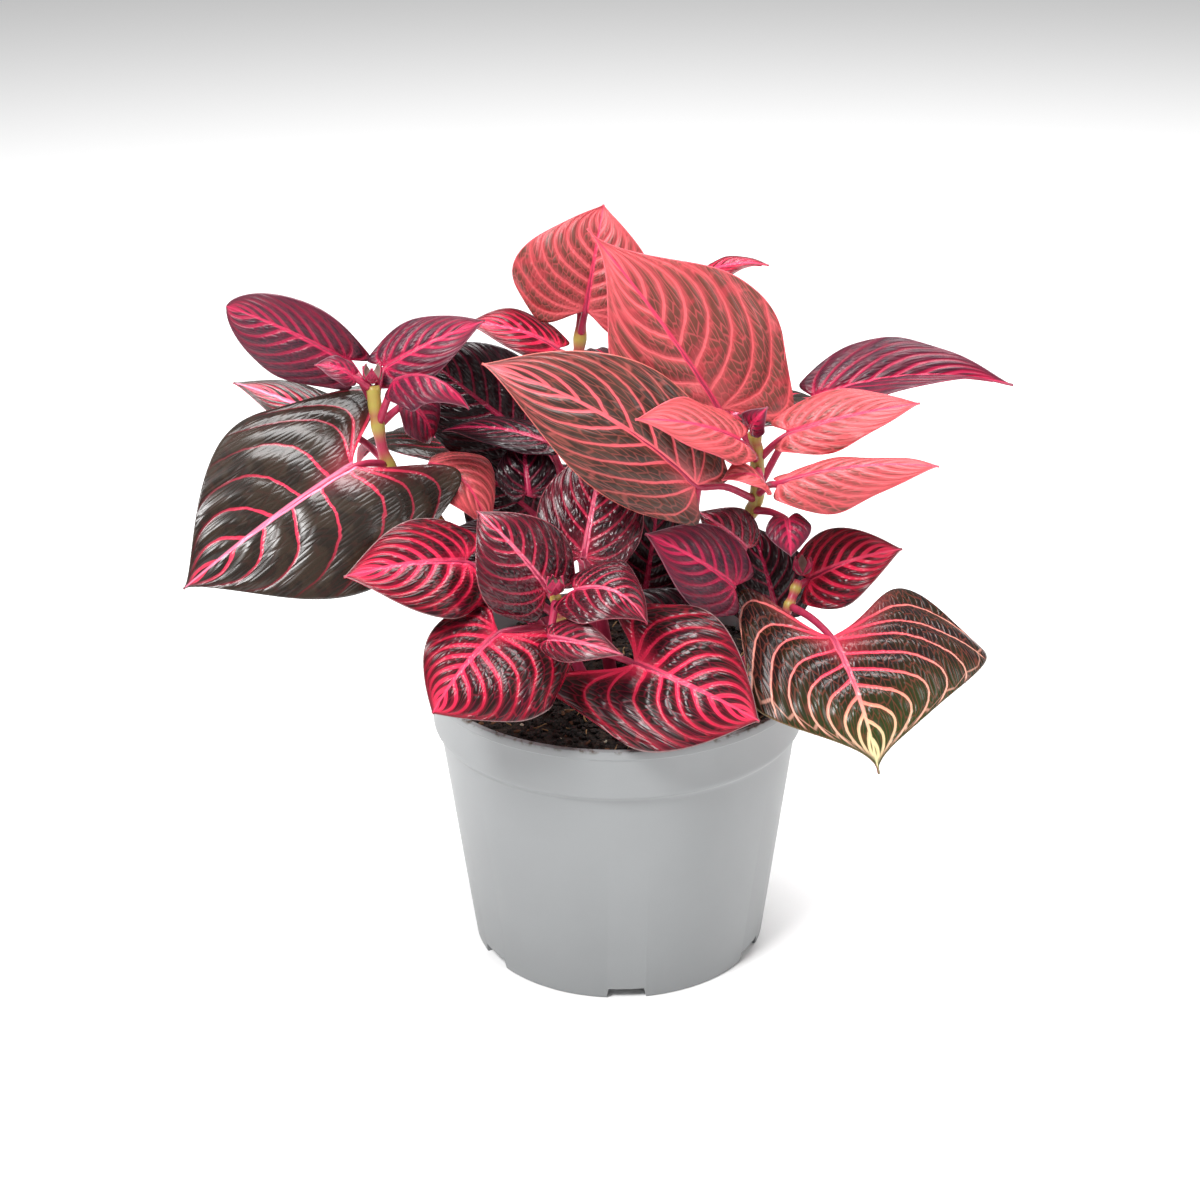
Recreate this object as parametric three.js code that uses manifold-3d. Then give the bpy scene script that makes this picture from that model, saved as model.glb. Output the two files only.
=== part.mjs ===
// A potted bloodleaf (Iresine herbstii): a thin plastic grow pot, the peat in it, eight rooted
// stems, and the leaves that grow from them in pairs, each with its own stalk.
// Millimetres, +Z up. The origin is on the pot's axis, on the surface that the pot stands on.
import * as THREE from 'three';
import { mergeVertices } from 'three/addons/utils/BufferGeometryUtils.js';
import Module from 'manifold-3d';

const wasm = await Module();
wasm.setup();

// ---- Driving dimensions -------------------------------------------------------------------
const POT = {
  height: 93,
  rimRadius: 60,        // outside, at the lip
  bandHeight: 18.5,     // the stacking band under the lip
  bandFootRadius: 58.4, // outside, at the foot of the band
  shoulderRadius: 56.2, // outside of the body, just under the band
  baseRadius: 47,
  wall: 1.5,
  sides: 48,
};
const FOOT = {
  ringWidth: 4.2,       // the standing ring around the base
  discRadius: 24,       // the flat middle of the base, which stands too
  lift: 3.2,            // how far the drainage channel between them is raised
  notches: 6,
  notchWidth: 14,
  notchHeight: 3.6,
  frontNotch: -88,      // degrees round the axis
  drainRadius: 4,
};
const GAP = 0.3;        // clearance between pieces that touch
const SOIL = { top: 86.5, middleRise: 1.8, sides: 36 };
const BLADE = 0.5;      // leaf thickness
const STALK = { radius: 1.1, sides: 5 };
const STEM_SIDES = 7;
const BURIED = 14;      // how deep a stem goes into the peat

// ---- Small helpers ------------------------------------------------------------------------
const rad = THREE.MathUtils.degToRad;
const vec = (list) => new THREE.Vector3(...list);

function toSolid(geometry) {
  const bare = geometry.clone();
  bare.deleteAttribute('normal');
  bare.deleteAttribute('uv');
  const merged = mergeVertices(bare, 1e-4);
  return new wasm.Manifold(new wasm.Mesh({
    numProp: 3,
    vertProperties: new Float32Array(merged.attributes.position.array),
    triVerts: new Uint32Array(merged.index.array),
  }));
}

function toGeometry(solid) {
  const mesh = solid.getMesh();
  const geometry = new THREE.BufferGeometry();
  geometry.setAttribute('position', new THREE.BufferAttribute(new Float32Array(mesh.vertProperties), 3));
  geometry.setIndex(new THREE.BufferAttribute(new Uint32Array(mesh.triVerts), 1));
  geometry.computeVertexNormals();
  return geometry;
}

function tube(points, radius, sides, steps) {
  const path = new THREE.CatmullRomCurve3(points, false, 'centripetal');
  const section = new THREE.Shape();
  for (let i = 0; i < sides; i += 1) {
    const angle = (2 * Math.PI * i) / sides;
    const [x, y] = [radius * Math.cos(angle), radius * Math.sin(angle)];
    if (i === 0) section.moveTo(x, y);
    else section.lineTo(x, y);
  }
  section.closePath();
  return new THREE.ExtrudeGeometry(section, { extrudePath: path, steps });
}

function turned(outline, sides) {
  const profile = outline.map(([radius, height]) => new THREE.Vector2(radius, height));
  return new THREE.LatheGeometry(profile, sides).rotateX(Math.PI / 2);
}

// ---- Pot ----------------------------------------------------------------------------------
function makePot() {
  const { height, rimRadius, bandHeight, bandFootRadius, shoulderRadius, baseRadius, wall } = POT;
  const bandFoot = height - bandHeight;
  const ringInner = baseRadius - FOOT.ringWidth;
  const floor = FOOT.lift + wall;
  const shell = toSolid(turned([
    [0, 0],
    [FOOT.discRadius, 0],
    [FOOT.discRadius + 1, FOOT.lift],
    [ringInner - 0.6, FOOT.lift],
    [ringInner, 0],
    [baseRadius - 0.8, 0],
    [baseRadius, 0.8],
    [shoulderRadius, bandFoot - 1],
    [shoulderRadius + 0.5, bandFoot + 0.6],
    [bandFootRadius - 0.3, bandFoot + 2],
    [bandFootRadius, bandFoot + 4],
    [rimRadius - 0.1, height - 2],
    [rimRadius, height - 0.8],
    [rimRadius - 0.6, height],
    [rimRadius - 1.6, height],
    [rimRadius - 2, height - 1],
    [bandFootRadius - wall, bandFoot + 4],
    [shoulderRadius - wall, bandFoot + 1],
    [baseRadius - wall, floor + 1],
    [baseRadius - wall - 1, floor],
    [FOOT.discRadius - 1, floor],
    [FOOT.discRadius - 2, wall],
    [0, wall],
  ], POT.sides));
  const notch = new THREE.Shape();
  const half = FOOT.notchWidth / 2;
  notch.moveTo(-half, -1);
  notch.lineTo(half, -1);
  notch.lineTo(half, 1.2);
  notch.lineTo(half - 2, FOOT.notchHeight);
  notch.lineTo(2 - half, FOOT.notchHeight);
  notch.lineTo(-half, 1.2);
  notch.closePath();
  let pot = shell;
  for (let i = 0; i < FOOT.notches; i += 1) {
    const turn = rad(FOOT.frontNotch + (360 * i) / FOOT.notches);
    const cut = new THREE.ExtrudeGeometry(notch, { depth: 12, bevelEnabled: false });
    cut.rotateX(Math.PI / 2).translate(0, -(baseRadius - FOOT.ringWidth - 2), 0).rotateZ(turn + Math.PI / 2);
    const drain = new THREE.CylinderGeometry(FOOT.drainRadius, FOOT.drainRadius, 10, 12).rotateX(Math.PI / 2);
    drain.translate((FOOT.discRadius + ringInner) / 2, 0, floor - 2).rotateZ(turn + Math.PI / FOOT.notches);
    pot = pot.subtract(toSolid(cut)).subtract(toSolid(drain));
  }
  return toGeometry(pot);
}

// ---- Stems --------------------------------------------------------------------------------
// Each stem is a rooted cutting: its route from the peat up to its growing tip, and its radius.
const STEMS = {
  stem_left: { radius: 2.3, route: [[-15, -3, 88], [-30, -8, 118], [-53, -13, 146], [-67, -15, 165], [-70, -14, 178], [-71, -12, 189]] },
  stem_right: { radius: 2.4, route: [[12, 2, 88], [22, 0, 110], [36, -3, 136], [42, -6, 150], [42, -7, 162], [41, -8, 172]] },
  stem_back: { radius: 2.4, route: [[-6, 14, 88], [-10, 20, 118], [-13, 27, 160], [-10, 31, 198]] },
  stem_front: { radius: 2.0, route: [[-8, -14, 88], [-12, -29, 106], [-16, -43, 124], [-18, -51, 138]] },
  stem_middle: { radius: 2.2, route: [[-2, -1, 88], [-5, -7, 112], [-9, -14, 136], [-14, -13, 158]] },
  stem_low_right: { radius: 2.0, route: [[22, -12, 88], [37, -17, 100], [49, -18, 114], [55, -12, 126]] },
  stem_back_right: { radius: 2.2, route: [[15, 20, 88], [24, 34, 125], [29, 46, 165], [29, 51, 197]] },
  stem_back_left: { radius: 2.2, route: [[-17, 15, 88], [-32, 29, 120], [-44, 37, 152], [-47, 42, 176]] },
};

function stemRoute(stem) {
  const route = stem.route.map(vec);
  const root = route[0].clone();
  root.z = SOIL.top - BURIED;
  return [root, ...route];
}

function makeStem(stem, growth = 0) {
  const route = stemRoute(stem);
  route[0].z -= growth;
  return tube(route, stem.radius + growth, STEM_SIDES, 3 * route.length);
}

// ---- Peat ---------------------------------------------------------------------------------
function makeSoil() {
  const floor = FOOT.lift + POT.wall + GAP;
  const bandFoot = POT.height - POT.bandHeight;
  const inside = POT.wall + GAP;
  const core = turned([
    [0, POT.wall + GAP],
    [FOOT.discRadius - 2.6, POT.wall + GAP],
    [FOOT.discRadius - 1.6, floor],
    [POT.baseRadius - inside - 1.2, floor],
    [POT.baseRadius - inside, floor + 1.2],
    [POT.shoulderRadius - inside, bandFoot + 1],
    [POT.bandFootRadius - inside - 0.3, bandFoot + 4.4],
    [POT.bandFootRadius - inside, SOIL.top],
    [POT.bandFootRadius - 14, SOIL.top + SOIL.middleRise * 0.4],
    [18, SOIL.top + SOIL.middleRise],
    [0, SOIL.top + SOIL.middleRise],
  ], SOIL.sides);
  let soil = toSolid(core);
  for (const stem of Object.values(STEMS)) soil = soil.subtract(toSolid(makeStem(stem, GAP)));
  return toGeometry(soil);
}

// ---- Leaves -------------------------------------------------------------------------------
// base and tip are the two ends of the midrib, and face is the way that the upper side looks.
// bow lifts the middle of the midrib off the straight line, and sway moves it to the right.
// fold is the angle that each half rises from the midrib, and curl how far it bends down again
// by the margin. twist turns the tip end against the base end. heart is how far the two lobes
// reach back past the stalk, as a share of the length. lean and heartLean make the right half
// wider and its lobe longer than the left ones. belly keeps the blade wide further along, and
// sharp draws out its point. spread moves the lobes out from the midrib. stem and at say where
// the stalk starts.
const LEAF = {
  bow: 4, sway: 0, fold: 14, curl: 38, twist: 0, heart: 0.12, lean: 0, heartLean: 0, wave: 0.6,
  belly: 1.5, sharp: 1.2, spread: 1.5,
};
const LEAVES = [
  // left shoot
  { name: 'leaf_left_big', stem: 'stem_left', at: 0.8, base: [-76, -27, 170], tip: [-123, -54, 143],
    face: [-0.25, -1, 0.35], width: 65, bow: 6, heart: 0.42, lean: -0.04, heartLean: 0, fold: 8, curl: 30,
    twist: -20, belly: 1.9, sharp: 1.4 },
  { name: 'leaf_left_upper', stem: 'stem_left', at: 0.95, base: [-79, -4, 194], tip: [-114, 0, 210],
    face: [-0.25, -1, 0.1], width: 26, bow: 3, sway: 2, heart: 0.14, lean: -0.2, sharp: 0.7 },
  { name: 'leaf_left_inner', stem: 'stem_left', at: 0.97, base: [-68, -7, 193], tip: [-38, -4, 206],
    face: [0, -0.7, 0.7], width: 21, bow: 2 },
  { name: 'leaf_left_folded', stem: 'stem_left', at: 0.9, base: [-64, -18, 193], tip: [-42, -29, 187],
    face: [0.2, -0.3, 0.9], width: 22, bow: 6, fold: -30, curl: 40 },
  { name: 'leaf_left_bud_outer', stem: 'stem_left', at: 0.99, base: [-76, -15, 193], tip: [-87, -17, 197],
    face: [0, -0.6, 0.8], width: 10, bow: 2 },
  { name: 'leaf_left_under', stem: 'stem_left', at: 0.8, base: [-80, -2, 172], tip: [-114, 2, 186],
    face: [0, -0.5, 0.85], width: 18, bow: 2 },
  { name: 'leaf_left_arched', stem: 'stem_left', at: 0.62, base: [-57, -4, 162], tip: [-38, -20, 146],
    face: [0.3, -0.5, 0.9], width: 26, bow: 8, heart: 0.05 },
  { name: 'leaf_left_striped', stem: 'stem_front', at: 0.85, base: [-43, -43, 146], tip: [-77, -58, 148],
    face: [-0.1, -0.75, 0.65], width: 32, bow: 4, heart: 0.18, lean: -0.1 },
  { name: 'leaf_left_behind', stem: 'stem_left', at: 0.9, base: [-61, -6, 182], tip: [-56, 0, 167],
    face: [0.6, -0.6, 0.4], width: 16, bow: 3 },
  { name: 'leaf_left_shaded', stem: 'stem_middle', at: 0.97, base: [-28, 5, 168], tip: [-58, 12, 191],
    face: [-0.2, -0.8, 0.4], width: 36, bow: 4, sharp: 0.8 },
  { name: 'leaf_left_edge_on', stem: 'stem_middle', at: 0.9, base: [-20, -14, 172], tip: [-52, -3, 172],
    face: [0, -0.3, 1], width: 17, bow: 3 },
  // front shoot
  { name: 'leaf_front_upright', stem: 'stem_front', at: 0.95, base: [-20, -50, 140], tip: [-40, -44, 162],
    face: [0.1, -0.8, 0.6], width: 31, bow: 4, heart: 0.16, lean: -0.1 },
  { name: 'leaf_front_right', stem: 'stem_front', at: 0.92, base: [-13, -53, 141], tip: [8, -59, 133],
    face: [0.3, -0.45, 0.85], width: 28, bow: 7, heart: 0.14 },
  { name: 'leaf_front_small', stem: 'stem_front', at: 0.99, base: [-20, -63, 131], tip: [1, -73, 130],
    face: [0, -0.8, 0.6], width: 13, bow: 3 },
  { name: 'leaf_front_over_rim', stem: 'stem_front', at: 0.75, base: [-34, -54, 129], tip: [-53, -68, 110],
    face: [-0.1, -0.75, 0.65], width: 42, bow: 5, heart: 0.4, lean: -0.3, heartLean: -0.6, sharp: 1.1,
    spread: 1.8, belly: 2, wave: 1.2 },
  { name: 'leaf_front_big', stem: 'stem_front', at: 0.55, base: [4, -50, 117], tip: [40, -63, 104],
    face: [0, -0.85, 0.6], width: 46, bow: 5, heart: 0.5, lean: 0.02, heartLean: 0.35, belly: 2,
    spread: 1.8 },
  // middle
  { name: 'leaf_middle_glossy', stem: 'stem_middle', at: 0.8, base: [-10, -36, 144], tip: [-3, -8, 170],
    face: [0, -0.8, 0.6], width: 32, bow: 4, heart: 0.14 },
  { name: 'leaf_middle_dark', stem: 'stem_middle', at: 0.93, base: [-26, -20, 158], tip: [-28, -6, 171],
    face: [0, -0.8, 0.6], width: 18, bow: 2 },
  { name: 'leaf_middle_long', stem: 'stem_right', at: 0.76, base: [23, -29, 163], tip: [-38, -30, 201],
    face: [-0.15, -0.75, 0.55], width: 40, bow: 8, heart: 0.1, sway: 3, sharp: 1.2, belly: 1.7 },
  { name: 'leaf_middle_purple', stem: 'stem_right', at: 0.35, base: [35, -26, 130], tip: [8, -30, 149],
    face: [0, -0.7, 0.7], width: 28, bow: 3 },
  { name: 'leaf_middle_low', stem: 'stem_middle', at: 0.5, base: [-19, -22, 131], tip: [-56, -31, 147],
    face: [0, -0.7, 0.7], width: 32, bow: 5 },
  { name: 'leaf_low_shaded', stem: 'stem_low_right', at: 0.35, base: [26, -17, 104], tip: [0, -11, 122],
    face: [0, -0.8, 0.6], width: 28, bow: 4 },
  { name: 'leaf_middle_maroon', stem: 'stem_right', at: 0.55, base: [39, -14, 137], tip: [24, -15, 150],
    face: [0, -0.8, 0.6], width: 19, bow: 3 },
  { name: 'leaf_deep_left', stem: 'stem_middle', at: 0.6, base: [-24, 6, 140], tip: [-48, 8, 160],
    face: [-0.1, -0.8, 0.6], width: 38, bow: 4, heart: 0.1 },
  { name: 'leaf_deep_middle', stem: 'stem_back', at: 0.4, base: [9, 12, 113], tip: [14, 12, 150],
    face: [0, -0.9, 0.4], width: 38, bow: 4, heart: 0.1 },
  { name: 'leaf_deep_right', stem: 'stem_low_right', at: 0.6, base: [50, 4, 108], tip: [42, 14, 134],
    face: [0, -0.8, 0.6], width: 30, bow: 4, heart: 0.1 },
  // top
  { name: 'leaf_top_big', stem: 'stem_right', at: 0.94, base: [31, -6, 178], tip: [-8, 4, 231],
    face: [0.1, -0.8, 0.5], width: 59, bow: 5, heart: 0.2, lean: 0.12, heartLean: 0.2, sharp: 2.1, belly: 1.9 },
  { name: 'leaf_top_back', stem: 'stem_back', at: 0.93, base: [-9, 25, 200], tip: [-3, 34, 231],
    face: [0, -0.9, 0.3], width: 46, bow: 3, heart: 0.16, lean: -0.1 },
  { name: 'leaf_top_left', stem: 'stem_back', at: 0.86, base: [-17, 23, 189], tip: [-45, 18, 199],
    face: [0, -0.5, 0.9], width: 20, bow: 3 },
  { name: 'leaf_top_far', stem: 'stem_back_right', at: 0.97, base: [28, 50, 205], tip: [49, 52, 207],
    face: [0, -0.2, 1], width: 12, bow: 2 },
  // right shoot
  { name: 'leaf_right_long', stem: 'stem_right', at: 0.8, base: [60, 12, 176], tip: [120, 8, 181],
    face: [0, -0.35, 0.95], width: 29, bow: 6, heart: 0.05, fold: 40, curl: 40, sharp: 1.4 },
  { name: 'leaf_right_coral', stem: 'stem_right', at: 0.9, base: [51, -8, 172], tip: [89, -12, 182],
    face: [0, -0.65, 0.75], width: 20, bow: 2, wave: 1.2 },
  { name: 'leaf_right_folded', stem: 'stem_right', at: 0.78, base: [47, -23, 162], tip: [93, -28, 168],
    face: [0, -0.5, 0.9], width: 25, bow: 4, fold: -20, wave: 1.4, heart: 0.05 },
  { name: 'leaf_right_inward', stem: 'stem_right', at: 0.87, base: [43, -24, 162], tip: [30, -32, 166],
    face: [0, -0.4, 0.9], width: 14, bow: 3 },
  { name: 'leaf_right_pointing_left', stem: 'stem_right', at: 0.9, base: [36, -23, 175], tip: [5, -42, 188],
    face: [0, -0.6, 0.8], width: 22, bow: 3, wave: 1.2 },
  { name: 'leaf_right_bud_front', stem: 'stem_right', at: 0.99, base: [39, -13, 175], tip: [44, -17, 183],
    face: [0, -0.8, 0.5], width: 9, bow: 2 },
  // low right shoot
  { name: 'leaf_low_small', stem: 'stem_right', at: 0.72, base: [50, -21, 150], tip: [51, -27, 140],
    face: [0, -0.8, 0.5], width: 14, bow: 2 },
  { name: 'leaf_low_right', stem: 'stem_low_right', at: 0.95, base: [58, -9, 125], tip: [86, -12, 136],
    face: [0, -0.7, 0.7], width: 26, bow: 4 },
  { name: 'leaf_low_big', stem: 'stem_low_right', at: 0.85, base: [63, -35, 118], tip: [75, -62, 86],
    face: [0.1, -0.75, 0.65], width: 80, bow: 6, heart: 0.5, lean: -0.24, heartLean: 0.3, fold: 4,
    curl: 34, belly: 2.6, sharp: 2.3, spread: 1.7 },
  // behind
  { name: 'leaf_back_left_high', stem: 'stem_back_left', at: 0.97, base: [-50, 46, 172], tip: [-72, 66, 170],
    face: [-0.2, 0.3, 0.9], width: 34, bow: 6, heart: 0.14 },
  { name: 'leaf_back_left_low', stem: 'stem_back_left', at: 0.8, base: [-52, 44, 150], tip: [-86, 62, 138],
    face: [-0.3, 0.3, 0.9], width: 40, bow: 8, heart: 0.18 },
  { name: 'leaf_back_left_inner', stem: 'stem_back_left', at: 0.9, base: [-36, 48, 164], tip: [-20, 78, 156],
    face: [0.1, 0.5, 0.9], width: 32, bow: 7, heart: 0.16 },
  { name: 'leaf_back_middle', stem: 'stem_back', at: 0.75, base: [-7, 42, 174], tip: [12, 84, 162],
    face: [0.1, 0.5, 0.85], width: 40, bow: 8, heart: 0.18 },
  { name: 'leaf_back_right_high', stem: 'stem_back_right', at: 0.9, base: [34, 60, 180], tip: [46, 92, 170],
    face: [0.2, 0.5, 0.9], width: 34, bow: 6, heart: 0.16 },
  { name: 'leaf_back_right_low', stem: 'stem_back_right', at: 0.7, base: [38, 44, 160], tip: [78, 58, 150],
    face: [0.4, 0.2, 0.9], width: 40, bow: 8, heart: 0.18 },
  { name: 'leaf_back_low', stem: 'stem_back', at: 0.5, base: [-8, 36, 140], tip: [-14, 74, 120],
    face: [0, 0.5, 0.85], width: 40, bow: 8, heart: 0.18 },
];

// Half of the blade's width at u, for a margin that is round by the stalk and runs to a point.
function outline(leaf) {
  const start = 0.02 + leaf.heart;
  const shape = (u) => Math.sqrt(u + start) * (1 - u ** leaf.belly) ** leaf.sharp;
  const widest = Math.max(...Array.from({ length: 41 }, (_, i) => shape(i / 40)));
  return (u) => Math.max((leaf.width / 2) * (shape(u) / widest), 0.3);
}

// A point of the blade's middle surface and the surface's normal there: u runs from the base
// to the tip, and v from the left margin, -1, over the midrib, 0, to the right margin, 1.
function bladeSurface(leaf) {
  const [base, tip] = [vec(leaf.base), vec(leaf.tip)];
  const chord = tip.clone().sub(base);
  const length = chord.length();
  const along = chord.clone().normalize();
  const face = vec(leaf.face);
  const up = face.addScaledVector(along, -face.dot(along)).normalize();
  const side = along.clone().cross(up);
  const control = base.clone().lerp(tip, 0.5).addScaledVector(up, 2 * leaf.bow);
  control.addScaledVector(side, 2 * leaf.sway);
  const rib = new THREE.QuadraticBezierCurve3(base, control, tip);
  const [fold, curl] = [rad(leaf.fold), rad(leaf.curl)];
  const half = leaf.width / 2;
  const halfWidth = outline(leaf);
  return (u, v) => {
    const out = Math.abs(v);
    const hand = Math.sign(v);
    const lobe = leaf.heart * (1 + leaf.heartLean * hand) * Math.sin(Math.PI * out ** leaf.spread);
    const reach = u - lobe * (1 - u) ** 3;
    const forward = rib.getTangent(Math.max(reach, 0));
    const point = rib.getPoint(Math.max(reach, 0)).addScaledVector(forward, Math.min(reach, 0) * length);
    const right = side.clone().addScaledVector(forward, -side.dot(forward)).normalize();
    right.applyAxisAngle(forward, rad(leaf.twist) * (u - 0.5));
    const top = right.clone().cross(forward);
    const x = (out * halfWidth(u) * (1 + leaf.lean * hand)) / half;
    const slope = fold - curl * x;
    const ripple = leaf.wave * x * x * Math.sin(9 * u + 2 * hand);
    const across = (half * (Math.sin(fold) - Math.sin(slope))) / curl;
    const rise = (half * (Math.cos(slope) - Math.cos(fold))) / curl + ripple;
    point.addScaledVector(right, hand * across).addScaledVector(top, rise);
    const normal = top.multiplyScalar(Math.cos(slope)).addScaledVector(right, -hand * Math.sin(slope));
    return { point, normal };
  };
}

function makeBlade(surface, acrossSteps, alongSteps) {
  const blade = new THREE.BoxGeometry(2, 1, BLADE, acrossSteps, alongSteps, 1);
  const place = blade.attributes.position;
  for (let i = 0; i < place.count; i += 1) {
    const { point, normal } = surface(place.getY(i) + 0.5, place.getX(i));
    point.addScaledVector(normal, place.getZ(i));
    place.setXYZ(i, point.x, point.y, point.z);
  }
  return blade;
}

function stalkRoute(leaf, surface) {
  const stem = STEMS[leaf.stem];
  const path = new THREE.CatmullRomCurve3(stem.route.map(vec), false, 'centripetal');
  const node = path.getPointAt(leaf.at);
  const base = surface(0, 0).point;
  const inBlade = surface(0.1, 0).point;
  const towards = base.clone().sub(node).normalize();
  const lean = Math.abs(towards.dot(path.getTangentAt(leaf.at)));
  const clear = (stem.radius + GAP + 0.1 + STALK.radius * lean) / Math.sqrt(1 - Math.min(lean * lean, 0.8));
  const start = node.clone().addScaledVector(towards, clear);
  const middle = start.clone().lerp(base, 0.5);
  middle.z += 0.06 * start.distanceTo(base);
  return [start, middle, base, inBlade];
}

function makeLeaf(given) {
  const leaf = { ...LEAF, ...given };
  const surface = bladeSurface(leaf);
  const big = leaf.width > 30;
  const blade = makeBlade(surface, big ? 6 : 4, big ? 7 : 5);
  const stalk = tube(stalkRoute(leaf, surface), STALK.radius, STALK.sides, 4);
  return toGeometry(toSolid(blade).add(toSolid(stalk)));
}

// ---- Colours ------------------------------------------------------------------------------
const finish = (color, roughness) => new THREE.MeshStandardMaterial({ color, roughness, metalness: 0 });

// ---- Assembly -----------------------------------------------------------------------------
const plant = new THREE.Group();
function addPiece(name, geometry, material) {
  const piece = new THREE.Mesh(geometry, material);
  piece.name = name;
  plant.add(piece);
}

addPiece('pot', makePot(), finish('#a3a6a8', 0.45));
addPiece('soil', makeSoil(), finish('#2e211a', 0.95));
for (const [name, stem] of Object.entries(STEMS)) addPiece(name, makeStem(stem), finish('#8e2438', 0.5));
for (const leaf of LEAVES) addPiece(leaf.name, makeLeaf(leaf), finish('#7c2030', 0.4));

export default plant;
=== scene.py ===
# A potted bloodleaf: a grey grow pot, the peat in it, eight rooted stems and their leaves.
# Blender works in metres. The tables below are in millimetres, as MM turns them into metres.
import math

import bmesh
import bpy
import numpy as np
from mathutils import Matrix, Vector


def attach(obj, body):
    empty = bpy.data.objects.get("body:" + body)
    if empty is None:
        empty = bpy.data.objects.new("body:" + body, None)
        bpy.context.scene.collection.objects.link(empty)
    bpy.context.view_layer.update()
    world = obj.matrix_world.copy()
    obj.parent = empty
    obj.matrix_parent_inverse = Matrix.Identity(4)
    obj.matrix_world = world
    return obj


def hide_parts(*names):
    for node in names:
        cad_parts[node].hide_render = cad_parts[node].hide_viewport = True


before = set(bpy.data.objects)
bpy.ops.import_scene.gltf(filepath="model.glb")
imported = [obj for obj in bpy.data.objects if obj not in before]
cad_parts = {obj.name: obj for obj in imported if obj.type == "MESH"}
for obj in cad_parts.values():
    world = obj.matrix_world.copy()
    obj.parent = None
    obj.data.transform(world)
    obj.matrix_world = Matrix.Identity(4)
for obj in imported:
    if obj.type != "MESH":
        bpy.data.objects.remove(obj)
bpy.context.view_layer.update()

MM = 0.001
chance = np.random.default_rng(11)

# ---- Camera -------------------------------------------------------------------------------
CAMERA_PLACE = (-5.33, -617.2, 382.2)
CAMERA_PITCH = 23.41  # degrees below level
CAMERA_ROLL = -0.57
CAMERA_LENS = 65.01   # on a sensor 36 mm wide

scene = bpy.context.scene
camera = bpy.data.objects.new("camera", bpy.data.cameras.new("camera"))
scene.collection.objects.link(camera)
camera.data.lens = CAMERA_LENS
camera.data.sensor_width = 36
camera.data.clip_start = 0.05
camera.data.clip_end = 20
camera.matrix_world = (
    Matrix.Translation(Vector(CAMERA_PLACE) * MM)
    @ Matrix.Rotation(math.radians(90 - CAMERA_PITCH), 4, "X")
    @ Matrix.Rotation(math.radians(CAMERA_ROLL), 4, "Z")
)
scene.camera = camera
scene.view_settings.view_transform = "Standard"


# ---- Colours and nodes --------------------------------------------------------------------
def colour(hex_text):
    """An sRGB hex value as a linear colour."""
    parts = [int(hex_text[i:i + 2], 16) / 255 for i in (1, 3, 5)]
    return (*(c / 12.92 if c <= 0.04045 else ((c + 0.055) / 1.055) ** 2.4 for c in parts), 1)


def add(tree, kind, sockets, **settings):
    """Adds a node with its settings. Each socket gets a value, or a link from another socket."""
    node = tree.nodes.new(kind)
    for name, value in settings.items():
        setattr(node, name, value)
    for name, value in sockets.items():
        if isinstance(value, bpy.types.Node):
            value = value.outputs[0]
        if isinstance(value, bpy.types.NodeSocket):
            tree.links.new(value, node.inputs[name])
        else:
            node.inputs[name].default_value = value
    return node


def new_material(name):
    material = bpy.data.materials.new(name)
    material.use_nodes = True
    material.node_tree.nodes.clear()
    return material, material.node_tree


def finish_material(tree, shader):
    add(tree, "ShaderNodeOutputMaterial", {"Surface": shader})


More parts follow.
